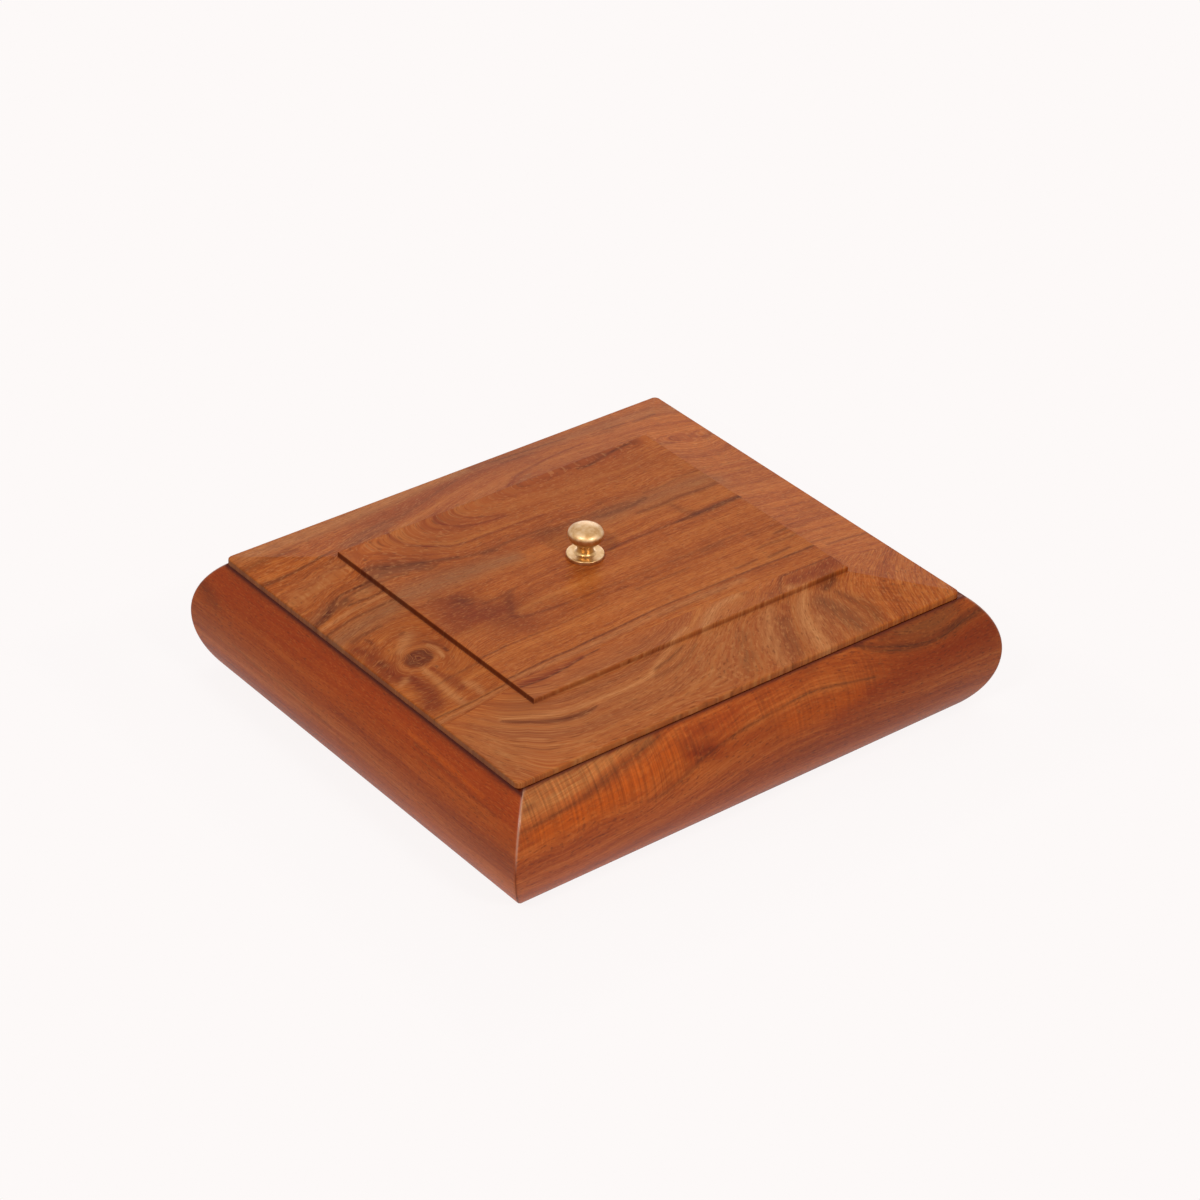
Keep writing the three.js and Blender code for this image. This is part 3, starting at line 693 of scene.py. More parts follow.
BACK_RED = [
    (2, .85, [(-53, 72, .7), (-56, 67, .9), (-57.5, 61, 1.1), (-56, 55, 1.1), (-52, 50, 1.1),
              (-47, 46, 1.1), (-42, 42.5, 1), (-35, 41, .9), (-22, 40.6, .8), (-8, 40.2, .7),
              (5, 39.5, .6)]),
    (2, .8, [(-32, 66, 1), (-34.5, 62, 1.3), (-33.5, 57, 1.2), (-30, 53, 1), (-25, 50.8, .9),
             (-18, 49, .8), (-8, 48, .6)]),
    (2, .6, [(-24, 65, .8), (-26, 62, .9), (-24, 58, .9), (-20, 54.5, .8), (-13, 51, .7),
             (-8, 48.5, .6)]),
    (2, .4, [(-5, 38.6, .6), (5, 38.2, .6), (20, 37.6, .6)]),
    (2, .75, [(10, 70, 1), (14, 73, 1.4), (19, 76, 1.4), (25, 77.7, 1.1), (30, 79, .9), (45, 81.5, .7),
              (60, 82, .6)]),
    (2, .5, [(10, 1.8, .9), (25, 2.4, .9), (40, 2.3, .9), (50, 2.2, .9)]),
    (2, .4, [(20, 64.5, .6), (25, 62.5, .6), (30, 61, .6)]),
    (2, .4, [(30, 83, .8), (38, 83.5, .8)]),
    (2, .9, [(-80, -54.5, 2), (-72, -54.6, 2.6), (-64, -54.6, 2.4), (-56, -54.4, 1.8),
             (-48, -53.8, 1), (-42, -53.5, .6)]),
    (2, .75, [(-64, 6, 7), (-63, 5, 6)]),
    (2, .6, [(-68, -1, 9), (-67, -3, 9)]),
    (2, .6, [(-60, -6, 10), (-59, -6, 9)]),
    (2, .4, [(-56, -10, 7), (-54, -10, 7)]),
    (2, .5, [(-44, -1.5, 2), (-47.5, -4.5, 3), (-48.5, -8, 2.4), (-51.5, -12, 1.8), (-53, -14.8, 1.4),
             (-50.5, -17, 1), (-45, -18.4, 1), (-30, -19.4, 1)]),
    (2, .8, [(-112, 11, 2.5), (-110, 5, 4.5), (-111, -3, 5), (-111, -10, 5), (-110, -16, 3.5)]),
    (2, .6, [(-106, 12, 1), (-104.5, 9, 1.2), (-106.5, 6, 1)]),
    (3, .9, [(-106.5, -20, 2.8), (-106.5, -26, 3.8), (-107, -32, 4), (-110, -38, 5)]),
    (2, .35, [(-94, 8, 5), (-90, 2, 5), (-88, -14, 4), (-90, -24, 4)]),
    (3, .65, [(-97.2, -20, .8), (-96.8, -26, 1.4), (-95.6, -33, 3), (-96, -38, 2.4)]),
    (2, .5, [(-102, -46, 1), (-85, -46.5, 1)]),
    (2, .4, [(-52, 52, 16), (-20, 58, 18), (20, 60, 18), (60, 58, 14)]),
    (2, .3, [(-50, 86, 8), (-10, 90, 8), (30, 86, 8)]),
    (2, .6, [(-57, -13, 9), (-52, -20, 8)]),
    (2, .5, [(-75, -8, 8), (-73, 4, 8)]),
    (2, .3, [(-40, -12, 6), (-30, -14, 5)]),
]

BACK_OLIVE = [
    (2, .6, [(-115, 21, 5.5), (-100, 22, 6), (-82, 23, 7), (-66, 23, 7), (-48, 22, 6),
             (-25, 20, 4)]),
    (2, .4, [(-115, 38, 3), (-104, 40, 3.6), (-95, 39.5, 4.6), (-82, 39, 4.4)]),
    (2, .4, [(-80, 43, 5), (-70, 40, 4), (-60, 37.5, 2.5)]),
    (2, .15, [(-115, 94, 5), (-80, 93, 4.5), (-50, 94, 4), (-20, 97, 3)]),
    (2, .3, [(0, 96, 3), (30, 94, 4), (60, 92, 4), (90, 89, 4.5), (115, 86, 5)]),
    (2, .3, [(-72, 72, 4), (-60, 75, 5), (-50, 76, 4)]),
    (2, .45, [(10, 22, 5), (30, 23, 6), (60, 23, 6), (85, 22, 5)]),
    (2, .4, [(15, 69.5, 1.2), (19, 71.5, 1.2), (24, 73.5, 1)]),
    (2, .3, [(-110, 55, 7), (-95, 58, 7), (-84, 60, 5)]),
]

BACK_PALE = [
    (2, .5, [(-99.6, -17.5, 1.2), (-100, -24, 1.6), (-100.4, -32, 1.7), (-101, -38, 2), (-101, -45, 1.8)]),
    (2, .45, [(-93, -36, 1.2), (-91.6, -40, 2), (-92, -46, 1.6)]),
    (2, .5, [(-100, -3, 2), (-95, 1, 3), (-92, 3, 3)]),
    (2, .5, [(-112, -20, 1.2), (-109, -19, 1.6)]),
    (2.5, .4, [(-108, 94, 5), (-70, 93.5, 5.5), (-35, 95, 4.5), (5, 97, 3)]),
    (3, .5, [(-115, 30.8, 1), (-106, 32, 1.2), (-98, 32.6, 1.2), (-90, 32, 1.2), (-82, 31.4, 1.2)]),
    (3, .6, [(-89.6, -17, 1), (-88.4, -12, 1), (-89.6, -7, .9)]),
    (2, .4, [(-115, -49, 1.4), (-82, -50.2, 1.2), (-40, -49.5, 1.8), (0, -47.5, 2), (40, -48.5, 2)]),
    (4, .9, [(65.6, 1.8, .5), (66.4, 1.8, .4)]),
    (4, .9, [(71.2, 2, .4), (71.8, 2, .3)]),
    (4, .9, [(72.8, 2.7, .3), (73.3, 2.6, .3)]),
    (4, .9, [(74.8, 2.2, .4), (75.4, 2.2, .3)]),
]

FRONT_STAIN = [
    (2.5, .8, [(-97, -65.5, .5), (-94, -69, .9), (-90, -73, 1), (-86, -75.5, 1.2), (-80, -78, 1.5),
               (-74, -79.3, 1.4), (-67, -80, 1.2), (-61, -79.5, .5)]),
    (2, .6, [(-27, -74, .8), (-20, -72.5, .9), (-14, -70.5, .9), (-8, -68.5, .8)]),
    (2, .4, [(-30, -77.5, 1), (-22, -77, 1.2), (-14, -76, 1.2), (-8, -73, 1.1), (-3, -70, .9)]),
    (2, .85, [(-81, -56.6, .45), (-76, -57.2, .45), (-70, -57.4, .45), (-64, -57.1, .45),
              (-58, -56.3, .45), (-52, -55.2, .45), (-46, -54.2, .45), (-40, -53.7, .4)]),
    (2, .6, [(66, -70, 1.2), (70, -69, 1.5), (74, -67, 1.2)]),
    (2, .5, [(69, -74, 1.5), (71, -80, 2.5), (73.5, -84, 3.2), (74.5, -90, 3.4), (73, -95, 3)]),
    (2, .5, [(66, -69, 2.5), (70, -67, 3), (73, -67, 2)]),
    (2, .5, [(46, -65, .7), (50, -60, .7), (54, -56, .6), (57, -55.4, .6)]),
    (2, .6, [(56, -55.8, .5), (70, -56, .5), (81, -56.2, .5)]),
    (2, .4, [(33, -56.5, 1.2), (35, -56.5, 1.2)]),
    (2, .3, [(12, -88, 2), (13, -86, 2)]),
    (2, .35, [(31, -95, 3), (34, -85, 4), (38, -76, 3)]),
    (2, .3, [(4, -95, 3), (10, -86, 3.5), (18, -75, 3)]),
    (2, .45, [(60, -76, 4), (62, -85, 5), (64, -95, 5)]),
    (4, .6, [(90.5, -78.2, .7), (91.4, -78.4, .6)]),
    (4, .6, [(92.7, -81.5, .6), (93.4, -81.6, .5)]),
    (4, .6, [(96.7, -84, .6), (97.3, -84.1, .5)]),
]

FRONT_RED = [
    (2.5, .75, [(56, -61, 3.5), (68, -60.5, 4.5), (80, -60, 4.5)]),
    (2, .5, [(43.5, -71, 1.5), (44.5, -71, 1.5)]),
    (2, .4, [(39, -76, 2), (41, -76, 2)]),
    (2, .9, [(-80, -55.4, 1.8), (-72, -56, 2.2), (-64, -56, 1.8), (-56, -55, 1.2), (-48, -54, .8)]),
]

FRONT_OLIVE = [
    (3, .35, [(-112, -78, 24), (-60, -78, 24), (0, -80, 24), (55, -82, 20)]),
    (2, .2, [(60, -75, 4), (62, -85, 5), (64, -95, 5)]),
]

FRONT_PALE = [
    (2, .5, [(-97, -64, .5), (-93, -67, .8), (-88, -71, .9), (-82, -73.5, 1), (-75, -75, 1),
             (-68, -76, 1), (-60, -76.5, 1), (-50, -77, 1), (-40, -77, 1), (-30, -76, .9)]),
    (2, .55, [(-30, -75, 1), (-24, -71.5, 1.2), (-18, -69, 1.2), (-10, -65, 1.2), (-2, -62, 1)]),
    (2, .6, [(5, -66, 2), (12, -61, 2.5), (20, -57, 2.2), (30, -56, 2)]),
    (2, .6, [(42, -97, 4), (44, -88, 3.5), (47, -80, 3), (52, -72, 2.2), (58, -67, 1.5)]),
    (2, .35, [(20, -97, 2.5), (24, -86, 3), (31, -75, 2.5), (38, -68, 2)]),
    (2, .4, [(51.6, -83, 1.5), (52.4, -83, 1.5)]),
    (2, .5, [(51.6, -64, 2), (52.4, -64, 2)]),
]

# Where the growth rings show as fine dark lines
BACK_RINGS = [
    (3, .2, [(-44, 57, 15), (-30, 60, 17), (0, 64, 20), (40, 65, 20)]),
    (3, .35, [(60, 64, 17), (110, 62, 16)]),
]
FRONT_RINGS = [
    (3, .4, [(-90, -72, 10), (-40, -74, 10), (0, -70, 10)]),
    (3, .35, [(90, -68, 14), (95, -88, 14)]),
]

# How light the colour of each board is made along X, and what the whole lid's is multiplied by along Y
BACK_TONE = [(-115, .86), (0, .89), (80, .87), (90, .95), (115, .96)]
FRONT_TONE = [(-115, .94), (0, .93), (115, .90)]
TONE_TO_BACK = [(45, 1), (58, 1.08), (80, 1.07), (99, 1.02)]

# The knot's middle and radius. Its rings start from KNOT_GRAIN at the halo's edge, rise by
# KNOT_RISE in each millimetre outwards, and take over from the grain within KNOT_BLEND.
KNOT = (-97.2, -11.3)
KNOT_RADIUS = 5.9
KNOT_HALO = 14
KNOT_BLEND = 8
KNOT_GRAIN = -37
KNOT_RISE = 0.7

# How dark the painted shade on the step round the field is, on its left wall and at its other feet
STEP_SHADE_LEFT = 0.75
STEP_SHADE_FRONT = 0.35
STEP_SHADE_REST = 0.25

# The underside shows another stretch of each board's figure, with this share of its tints.
UNDERSIDE_GRAIN = 31.0
UNDERSIDE_LENGTH = 700.0
UNDERSIDE_TINTS = 0.35

LID_RIPPLES = [
    (.5, [(86, -95, 9), (88, -82, 9), (88, -72, 7)]),
    (.35, [(60, -18, 8), (62, -4, 8)]),
]
LEAST_LID_RIPPLE = 0.08


# The rails' figure. Places are (along the rail from under the lid's middle, down round its outside).

FRONT_RAIL_STAIN = [
    (2, .6, [(-123, 15.2, .8), (-107.6, 14.4, .9), (-91, 12.8, 1.2), (-79, 10, 2.4),
             (-69, 7.5, 2.6), (-57.6, 4.5, 2.8), (-47, 2, 2)]),
    (2, .5, [(-116, 8, 1.5), (-112, 7, 1.5)]),
    (2, .35, [(-36, 11, 3), (-31, 15, 3.6), (-26, 17, 2.4)]),
    (2, .6, [(-34, 18, 1), (-24, 15.8, .8), (-11, 13.5, .7), (5.7, 12, .6), (22, 10.8, .7),
             (32, 11, .7), (45.7, 13.3, .6), (60.7, 15.8, .5)]),
    (2, .45, [(-60, 25, .7), (-52, 24.6, .8), (-45, 22.8, .9), (-38, 20, 1.2), (-32, 17.5, 1.2)]),
    (2.5, .75, [(57.4, .8, 1.5), (64, 4.2, 2), (72.4, 7.5, 2.2), (82.4, 10, 2.2), (94, 11, 2.2),
                (105.7, 9.8, 2.4), (114, 8.3, 2.2), (122, 7.5, 2)]),
    (2, .5, [(70, 2, 3), (90, 4, 5.5), (110, 2.5, 4)]),
    (2, .3, [(30, 2.5, 2), (33, 2.5, 2)]),
]

FRONT_RAIL_RED = [
    (2, .9, [(-37, 13, 3.6), (-31, 15, 4.2), (-24, 16.5, 3)]),
    (2, .4, [(-36, 4, 2), (-30, 6, 3), (-22, 8, 3), (-10, 6, 3)]),
    (2, .45, [(-98, 17, 2), (-80, 18, 2), (-62, 20, 2)]),
    (2, .6, [(-22, 19, 4), (0, 18, 4), (34, 17.5, 3.5)]),
    (2, .7, [(40, 24, 7), (70, 20, 7), (95, 19, 7), (122, 18, 8)]),
]

FRONT_RAIL_PALE = [
    (2, .7, [(-112, 19, 4), (-85, 18, 5), (-62, 15, 6), (-46, 11, 7)]),
    (2, .55, [(14, 20, 5), (34, 20, 5), (50, 19, 4)]),
]

FRONT_RAIL_OLIVE = [
    (3, .5, [(-124, 6, 7.5), (-105, 5.5, 7.5), (-88, 4, 6), (-72, 2, 4)]),
    (3, .5, [(-66, 2, 2.5), (-52, 2, 2.5)]),
    (2.5, .2, [(80, 3, 3), (95, 5, 4), (108, 3.5, 3)]),
]

LEFT_RAIL_STAIN = [
    (2, .4, [(-108, 15, 3), (-101, 17, 3.5), (-95, 19, 2.5)]),
    (2, .3, [(-80, 30, .8), (-60, 31.5, .8), (-40, 30, .8), (-10, 32, .8)]),
    (2, .35, [(40, 12, .6), (60, 13, .7), (80, 14.5, .7), (95, 15, .6)]),
    (2, .3, [(45, 16, .5), (70, 17.5, .6), (92, 18.5, .5)]),
    (3, .15, [(-110, 33, 9), (0, 34, 9), (110, 33, 9)]),
]

LEFT_RAIL_RED = [
    (2, .7, [(-110, 9, 12), (0, 9, 12), (110, 9, 12)]),
]

LEFT_RAIL_PALE = [
    (2, .4, [(35, 10, .8), (60, 11, .9), (85, 12, .8)]),
]

FRONT_RAIL_GRAIN = [
    (4, [(-127, 4), (-110, 3), (-90, 1), (-75, -2)]),
    (12, [(-127, 15), (-107.6, 13.3), (-91, 11.3), (-77.6, 10), (-69, 7.5), (-57.6, 5.8), (-41, .8)]),
    (12, [(57.4, .8), (64, 4.2), (72.4, 7.5), (82.4, 10.3), (94, 11.3), (105.7, 10), (114, 8.3),
          (127, 7.5)]),
    (18, [(-127, 30), (-100, 29), (-72, 27), (-58, 25.5), (-48, 22.5), (-34, 18), (-24, 15.8),
          (-11, 12.5), (5.7, 11.2), (22, 10.3), (32, 10.8), (45.7, 13), (60.7, 15.8), (80, 19),
          (100, 20), (127, 18)]),
    (30, [(-127, 45), (-60, 42), (0, 34), (60, 36), (127, 42)]),
    (44, [(-127, 60), (0, 57), (127, 60)]),
]


# Materials

def linear(code):
    """A linear colour with full alpha from an sRGB hex code."""
    parts = [int(code[i:i + 2], 16) / 255 for i in (0, 2, 4)]
    return [p / 12.92 if p < 0.04045 else ((p + 0.055) / 1.055) ** 2.4 for p in parts] + [1.0]


def add(tree, kind, inputs, out=None, **settings):
    """Adds a node with its settings, sets or links its inputs, and gives one of its outputs."""
    made = tree.nodes.new("ShaderNode" + kind)
    for key, value in settings.items():
        setattr(made, key, value)
    for key, value in inputs.items():
        if isinstance(value, bpy.types.NodeSocket):
            tree.links.new(value, made.inputs[key])
        else:
            made.inputs[key].default_value = value
    return next(o for o in made.outputs if o.enabled) if out is None else made.outputs[out]


def ramp(tree, value, stops):
    """A colour ramp through (place, hex code) stops."""
    colour = add(tree, "ValToRGB", {0: value})
    scale = colour.node.color_ramp
    while len(scale.elements) < len(stops):
        scale.elements.new(0.5)
    for element, (place, code) in zip(scale.elements, stops):
        element.position = place
        element.color = linear(code)
    return colour


def streaks(tree, along, across, size, detail, seed):
    """Noise drawn out along the grain: size is a streak's length and width in millimetres."""
    u = add(tree, "Math", {0: along, 1: size[0]}, operation="DIVIDE")
    v = add(tree, "Math", {0: across, 1: size[1]}, operation="DIVIDE")
    place = add(tree, "CombineXYZ", {0: u, 1: v, 2: seed})
    return add(tree, "TexNoise", {"Vector": place, "Scale": 1.0, "Detail": detail, "Roughness": 0.55})


def new_material(name):
    """A material of its own with its node tree and its main shader's inputs."""
    material = bpy.data.materials.new(name)
    material.use_nodes = True
    return material, material.node_tree, material.node_tree.nodes["Principled BSDF"].inputs


def wood(name, look):
    """Figured solid wood under a clear lacquer.

    The colour comes from a ramp over three layers of streaks: broad bands, growth lines and
    fibres. They follow the grain attribute, whose contours run along the grain, so they sweep and
    swirl with the figure. The listed masks tint it, broken up by the growth lines, and short
    dark pores and the cross-grain ripple lie over it. The ripple is a wave mixed with uneven
    stripes, and hides the pores where it is strong.
    """
    material, tree, shader = new_material(name)
    values = {}
    for key in ("grain", "length", "ripple", "rings", "tone", "edge", "shade", *look["tints"]):
        values[key] = add(tree, "Attribute", {}, out="Fac", attribute_name=key)
    place = add(tree, "TexCoord", {}, out="Object")
    sway = add(tree, "TexNoise", {"Vector": place, "Scale": 22.0, "Detail": 2.0})
    sway = add(tree, "Math", {0: sway, 1: -0.5}, operation="ADD")
    along = values["length"]
    across = add(tree, "Math", {0: sway, 1: look["sway"], 2: values["grain"]}, operation="MULTIPLY_ADD")

    bands = streaks(tree, along, across, (160.0, 6.0), 2.0, 1.3)
    lines = streaks(tree, along, across, (80.0, 1.3), 2.0, 7.7)
    fibres = streaks(tree, along, across, look["fibre_mm"], 3.0, 4.1)
    tone = add(tree, "Math", {0: bands, 1: look["band_share"]}, operation="MULTIPLY")
    tone = add(tree, "Math", {0: lines, 1: look["line_share"], 2: tone}, operation="MULTIPLY_ADD")
    tone = add(tree, "Math", {0: fibres, 1: look["fibre_share"], 2: tone}, operation="MULTIPLY_ADD")
    middle = (1 - look["band_share"] - look["line_share"] - look["fibre_share"]) / 2
    tone = add(tree, "Math", {0: tone, 1: middle}, operation="ADD")
    colour = ramp(tree, tone, look["ramp"])

    broken = add(tree, "Math", {0: fibres, 1: 2.4, 2: -0.28}, operation="MULTIPLY_ADD")
    for key, code in look["tints"].items():
        share = add(tree, "Math", {0: values[key], 1: broken}, operation="MULTIPLY", use_clamp=True)
        colour = add(tree, "Mix", {0: share, 6: colour, 7: linear(code)}, data_type="RGBA")

    # Real pores and flecks are about 0.2 mm wide; these are twice that, so that they can be seen.
    flecks = streaks(tree, along, across, (2.2, 0.48), 2.0, 3.3)
    flecks = add(tree, "MapRange", {0: flecks, 1: 0.54, 2: 0.68, 4: look["fleck_share"]})
    colour = add(tree, "Mix", {0: flecks, 6: colour, 7: linear(look["fleck"])}, data_type="RGBA")
    pores = streaks(tree, along, across, (2.6, 0.42), 2.0, 9.2)
    pores = add(tree, "MapRange", {0: pores, 1: 0.56, 2: 0.70, 4: look["pore_share"]})
    clear = add(tree, "Math", {0: values["ripple"], 1: -0.9, 2: 1.0}, operation="MULTIPLY_ADD")
    dark = add(tree, "Math", {0: pores, 1: clear}, operation="MULTIPLY")
    colour = add(tree, "Mix", {0: dark, 6: colour, 7: linear(look["pore"])}, data_type="RGBA")

    swing = streaks(tree, along, across, (9.0, 33.0), 1.0, 5.5)
    ridge = add(tree, "Math", {0: along, 1: 2 * math.pi / look["ripple_mm"]}, operation="MULTIPLY")
    ridge = add(tree, "Math", {0: swing, 1: 26.0, 2: ridge}, operation="MULTIPLY_ADD")
    ridge = add(tree, "Math", {0: ridge}, operation="SINE")
    stripes = streaks(tree, values["grain"], along, (22.0, 1.1), 2.0, 6.4)
    stripes = add(tree, "MapRange", {0: stripes, 1: 0.32, 2: 0.68, 3: -1.1, 4: 1.1})
    ridge = add(tree, "Math", {0: ridge, 1: 0.35, 2: stripes}, operation="MULTIPLY_ADD")
    wave = add(tree, "Math", {0: ridge, 1: values["ripple"]}, operation="MULTIPLY")
    ring = add(tree, "Math", {0: across, 1: 2 * math.pi / look["ring_mm"]}, operation="MULTIPLY")
    ring = add(tree, "Math", {0: bands, 1: 12.0, 2: ring}, operation="MULTIPLY_ADD")
    ring = add(tree, "Math", {0: ring}, operation="SINE")
    ring = add(tree, "MapRange", {0: ring, 1: 0.45, 2: 1.0, 4: look["ring_share"]})
    ring = add(tree, "Math", {0: ring, 1: values["rings"]}, operation="MULTIPLY")
    ring = add(tree, "Math", {0: ring, 1: broken}, operation="MULTIPLY", use_clamp=True)
    colour = add(tree, "Mix", {0: ring, 6: colour, 7: linear(look["tints"]["red"])}, data_type="RGBA")
    cloud = add(tree, "TexNoise", {"Vector": place, "Scale": 60.0, "Detail": 3.0})
    light = add(tree, "Math", {0: cloud, 1: 0.16, 2: 0.92}, operation="MULTIPLY_ADD")
    light = add(tree, "Math", {0: wave, 1: 0.25, 2: light}, operation="MULTIPLY_ADD")
    light = add(tree, "Math", {0: light, 1: values["tone"]}, operation="MULTIPLY")
    light = add(tree, "CombineColor", {0: light, 1: light, 2: light})
    colour = add(tree, "Mix", {0: 1.0, 6: colour, 7: light}, data_type="RGBA", blend_type="MULTIPLY")
    # Painted marks last: edge is a pale painted highlight on the rails' mitre arris and a greyer tone on
    # the lid's left end; shade is painted shade on the lid's step and on the rails' land under the lid,
    # with the rails' dark mitre joints
    for key in ("edge", "shade"):
        colour = add(tree, "Mix", {0: values[key], 6: colour, 7: linear(look[key])}, data_type="RGBA")

    height = add(tree, "Math", {0: fibres, 1: pores}, operation="SUBTRACT")
    bump = add(tree, "Bump", {"Strength": look["bump"], "Distance": 0.0001, "Height": height})
    rough = add(tree, "Math", {0: cloud, 1: 0.12, 2: look["roughness"] - 0.06}, operation="MULTIPLY_ADD")
    coat = add(tree, "Bump", {"Strength": 1.0, "Distance": look["coat_wave"], "Height": cloud})
    tree.links.new(colour, shader["Base Color"])
    tree.links.new(bump, shader["Normal"])
    tree.links.new(coat, shader["Coat Normal"])
    tree.links.new(rough, shader["Roughness"])
    shader["Coat Weight"].default_value = look["coat"]
    shader["Coat Roughness"].default_value = look["coat_roughness"]
    shader["Specular IOR Level"].default_value = look["under_coat"]
    return material


# The lid: a thin satin coat with an even soft sheen, brown-orange with darker sweeping lines.
LID_WOOD = wood("acacia_sanded_satin_lacquered", {
    "ramp": [(0.26, "8A3F17"), (0.42, "A24F1E"), (0.50, "AD5822"), (0.58, "B66228"), (0.74, "C47436")],
    "tints": {"olive": "8E6040", "red": "7C2F12", "pale": "C88650", "stain": "5C2814"},
    "sway": 2.0, "band_share": 0.6, "line_share": 0.35, "fibre_share": 0.75, "fibre_mm": (7.0, 0.46),
    "pore": "6A3618", "pore_share": 0.55, "fleck": "CC8850", "fleck_share": 0.32,
    "ring_mm": 2.7, "ring_share": 0.35,
    # shade is the colour of the painted shade on the field's step
    "ripple_mm": 3.0, "edge": "8E5A3C", "shade": "521C0E", "bump": 0.25,
    "roughness": 0.45, "coat": 0.20, "coat_roughness": 0.36, "coat_wave": 0.0002, "under_coat": 0.0,
})

# The rails: the same wood under a deeper gloss, so it looks wetter and redder, with a smooth
# pale sheen along the bullnose.
RAIL_WOOD = wood("acacia_moulded_gloss_lacquered", {
    "ramp": [(0.28, "88360E"), (0.42, "9C4312"), (0.50, "A64A16"), (0.58, "B0541C"), (0.72, "C0652A")],
    "tints": {"olive": "B07A44", "red": "8E2E03", "pale": "BE540F", "stain": "58280F"},
    "sway": 3.0, "band_share": 0.7, "line_share": 0.3, "fibre_share": 0.6, "fibre_mm": (14.0, 0.5),
    "pore": "4E200C", "pore_share": 0.58, "fleck": "CA7434", "fleck_share": 0.20,
    "ring_mm": 3.4, "ring_share": 0.5,
    # edge is the pale painted highlight on the mitre's arris, shade the painted shade under the lid and
    # the dark mitre joint
    "ripple_mm": 2.1, "edge": "D8B49E", "shade": "4A1004", "bump": 0.12,
    "roughness": 0.45, "coat": 0.34, "coat_roughness": 0.24, "coat_wave": 0.00015, "under_coat": 0.0,
})


# Over how many metres the brass changes round the head's widest place and above the flange
CROWN_FADE = (-0.0015, 0.0005)
FLANGE_FADE = 0.0012


def brass():
    """Turned brass, satin polished: soft broad highlights, faint rings and a slight mottle.

    The crown is the dullest, from wear. Under it the colour is a little darker and more golden,
    except on the flange: painted shade and a painted warm reflection of the wood. A thin clear coat
    sharpens the hearts of the highlights and whitens them.
    """
    material, tree, shader = new_material("brass_turned_satin_polished")
    place = add(tree, "TexCoord", {}, out="Object")
    # The real rings are finer; these are 0.35 mm apart so that they can be seen.
    rings = add(tree, "Mapping", {"Vector": place, "Scale": (60.0, 60.0, 2900.0)})
    rings = add(tree, "TexNoise", {"Vector": rings, "Scale": 1.0, "Detail": 2.0})
    mottle = add(tree, "TexNoise", {"Vector": place, "Scale": 420.0, "Detail": 3.0})
    colour = ramp(tree, mottle, [(0.34, "BB8F59"), (0.50, "CCA574"), (0.66, "D3B289")])
    up = add(tree, "SeparateXYZ", {0: place}, out="Z")
    widest = (KNOB_SEAT + HEAD_WIDEST) * MM
    crown = add(tree, "MapRange", {0: up, 1: widest + CROWN_FADE[0], 2: widest + CROWN_FADE[1]})
    below = add(tree, "Math", {0: 1.0, 1: crown}, operation="SUBTRACT")
    flange = (KNOB_SEAT + FLANGE_THICKNESS) * MM
    flange = add(tree, "MapRange", {0: up, 1: flange, 2: flange + FLANGE_FADE, 3: 0.2, 4: 1.0})
    below = add(tree, "Math", {0: below, 1: flange}, operation="MULTIPLY")
    # Painted shade and a painted warm reflection: the colour multiplied down under the head's widest
    # place, less on the flange
    below = {0: below, 6: colour, 7: linear("F4EEC4")}
    colour = add(tree, "Mix", below, data_type="RGBA", blend_type="MULTIPLY")
    rough = add(tree, "Math", {0: mottle, 1: 0.16, 2: 0.26}, operation="MULTIPLY_ADD")
    rough = add(tree, "Math", {0: crown, 1: 0.14, 2: rough}, operation="MULTIPLY_ADD")
    bump = add(tree, "Bump", {"Strength": 0.25, "Distance": 0.00004, "Height": rings})
    tree.links.new(colour, shader["Base Color"])
    tree.links.new(rough, shader["Roughness"])
    tree.links.new(bump, shader["Normal"])
    shader["Metallic"].default_value = 0.9
    shader["Coat Weight"].default_value = 0.4
    shader["Coat Roughness"].default_value = 0.13
    return material


def plated_steel():
    """Zinc plated steel: bluish grey, finely grained, half dull."""
    material, tree, shader = new_material("steel_turned_zinc_plated")
    place = add(tree, "TexCoord", {}, out="Object")
    grain = add(tree, "TexNoise", {"Vector": place, "Scale": 1500.0, "Detail": 2.0})
    patch = add(tree, "TexNoise", {"Vector": place, "Scale": 300.0, "Detail": 2.0})
    colour = ramp(tree, patch, [(0.35, "A9AEB3"), (0.50, "C0C4C8"), (0.65, "CCCBC4")])
    rough = add(tree, "Math", {0: grain, 1: 0.25, 2: 0.25}, operation="MULTIPLY_ADD")
    bump = add(tree, "Bump", {"Strength": 0.2, "Distance": 0.00003, "Height": grain})
    tree.links.new(colour, shader["Base Color"])
    tree.links.new(rough, shader["Roughness"])
    tree.links.new(bump, shader["Normal"])
    shader["Metallic"].default_value = 1.0
    return material


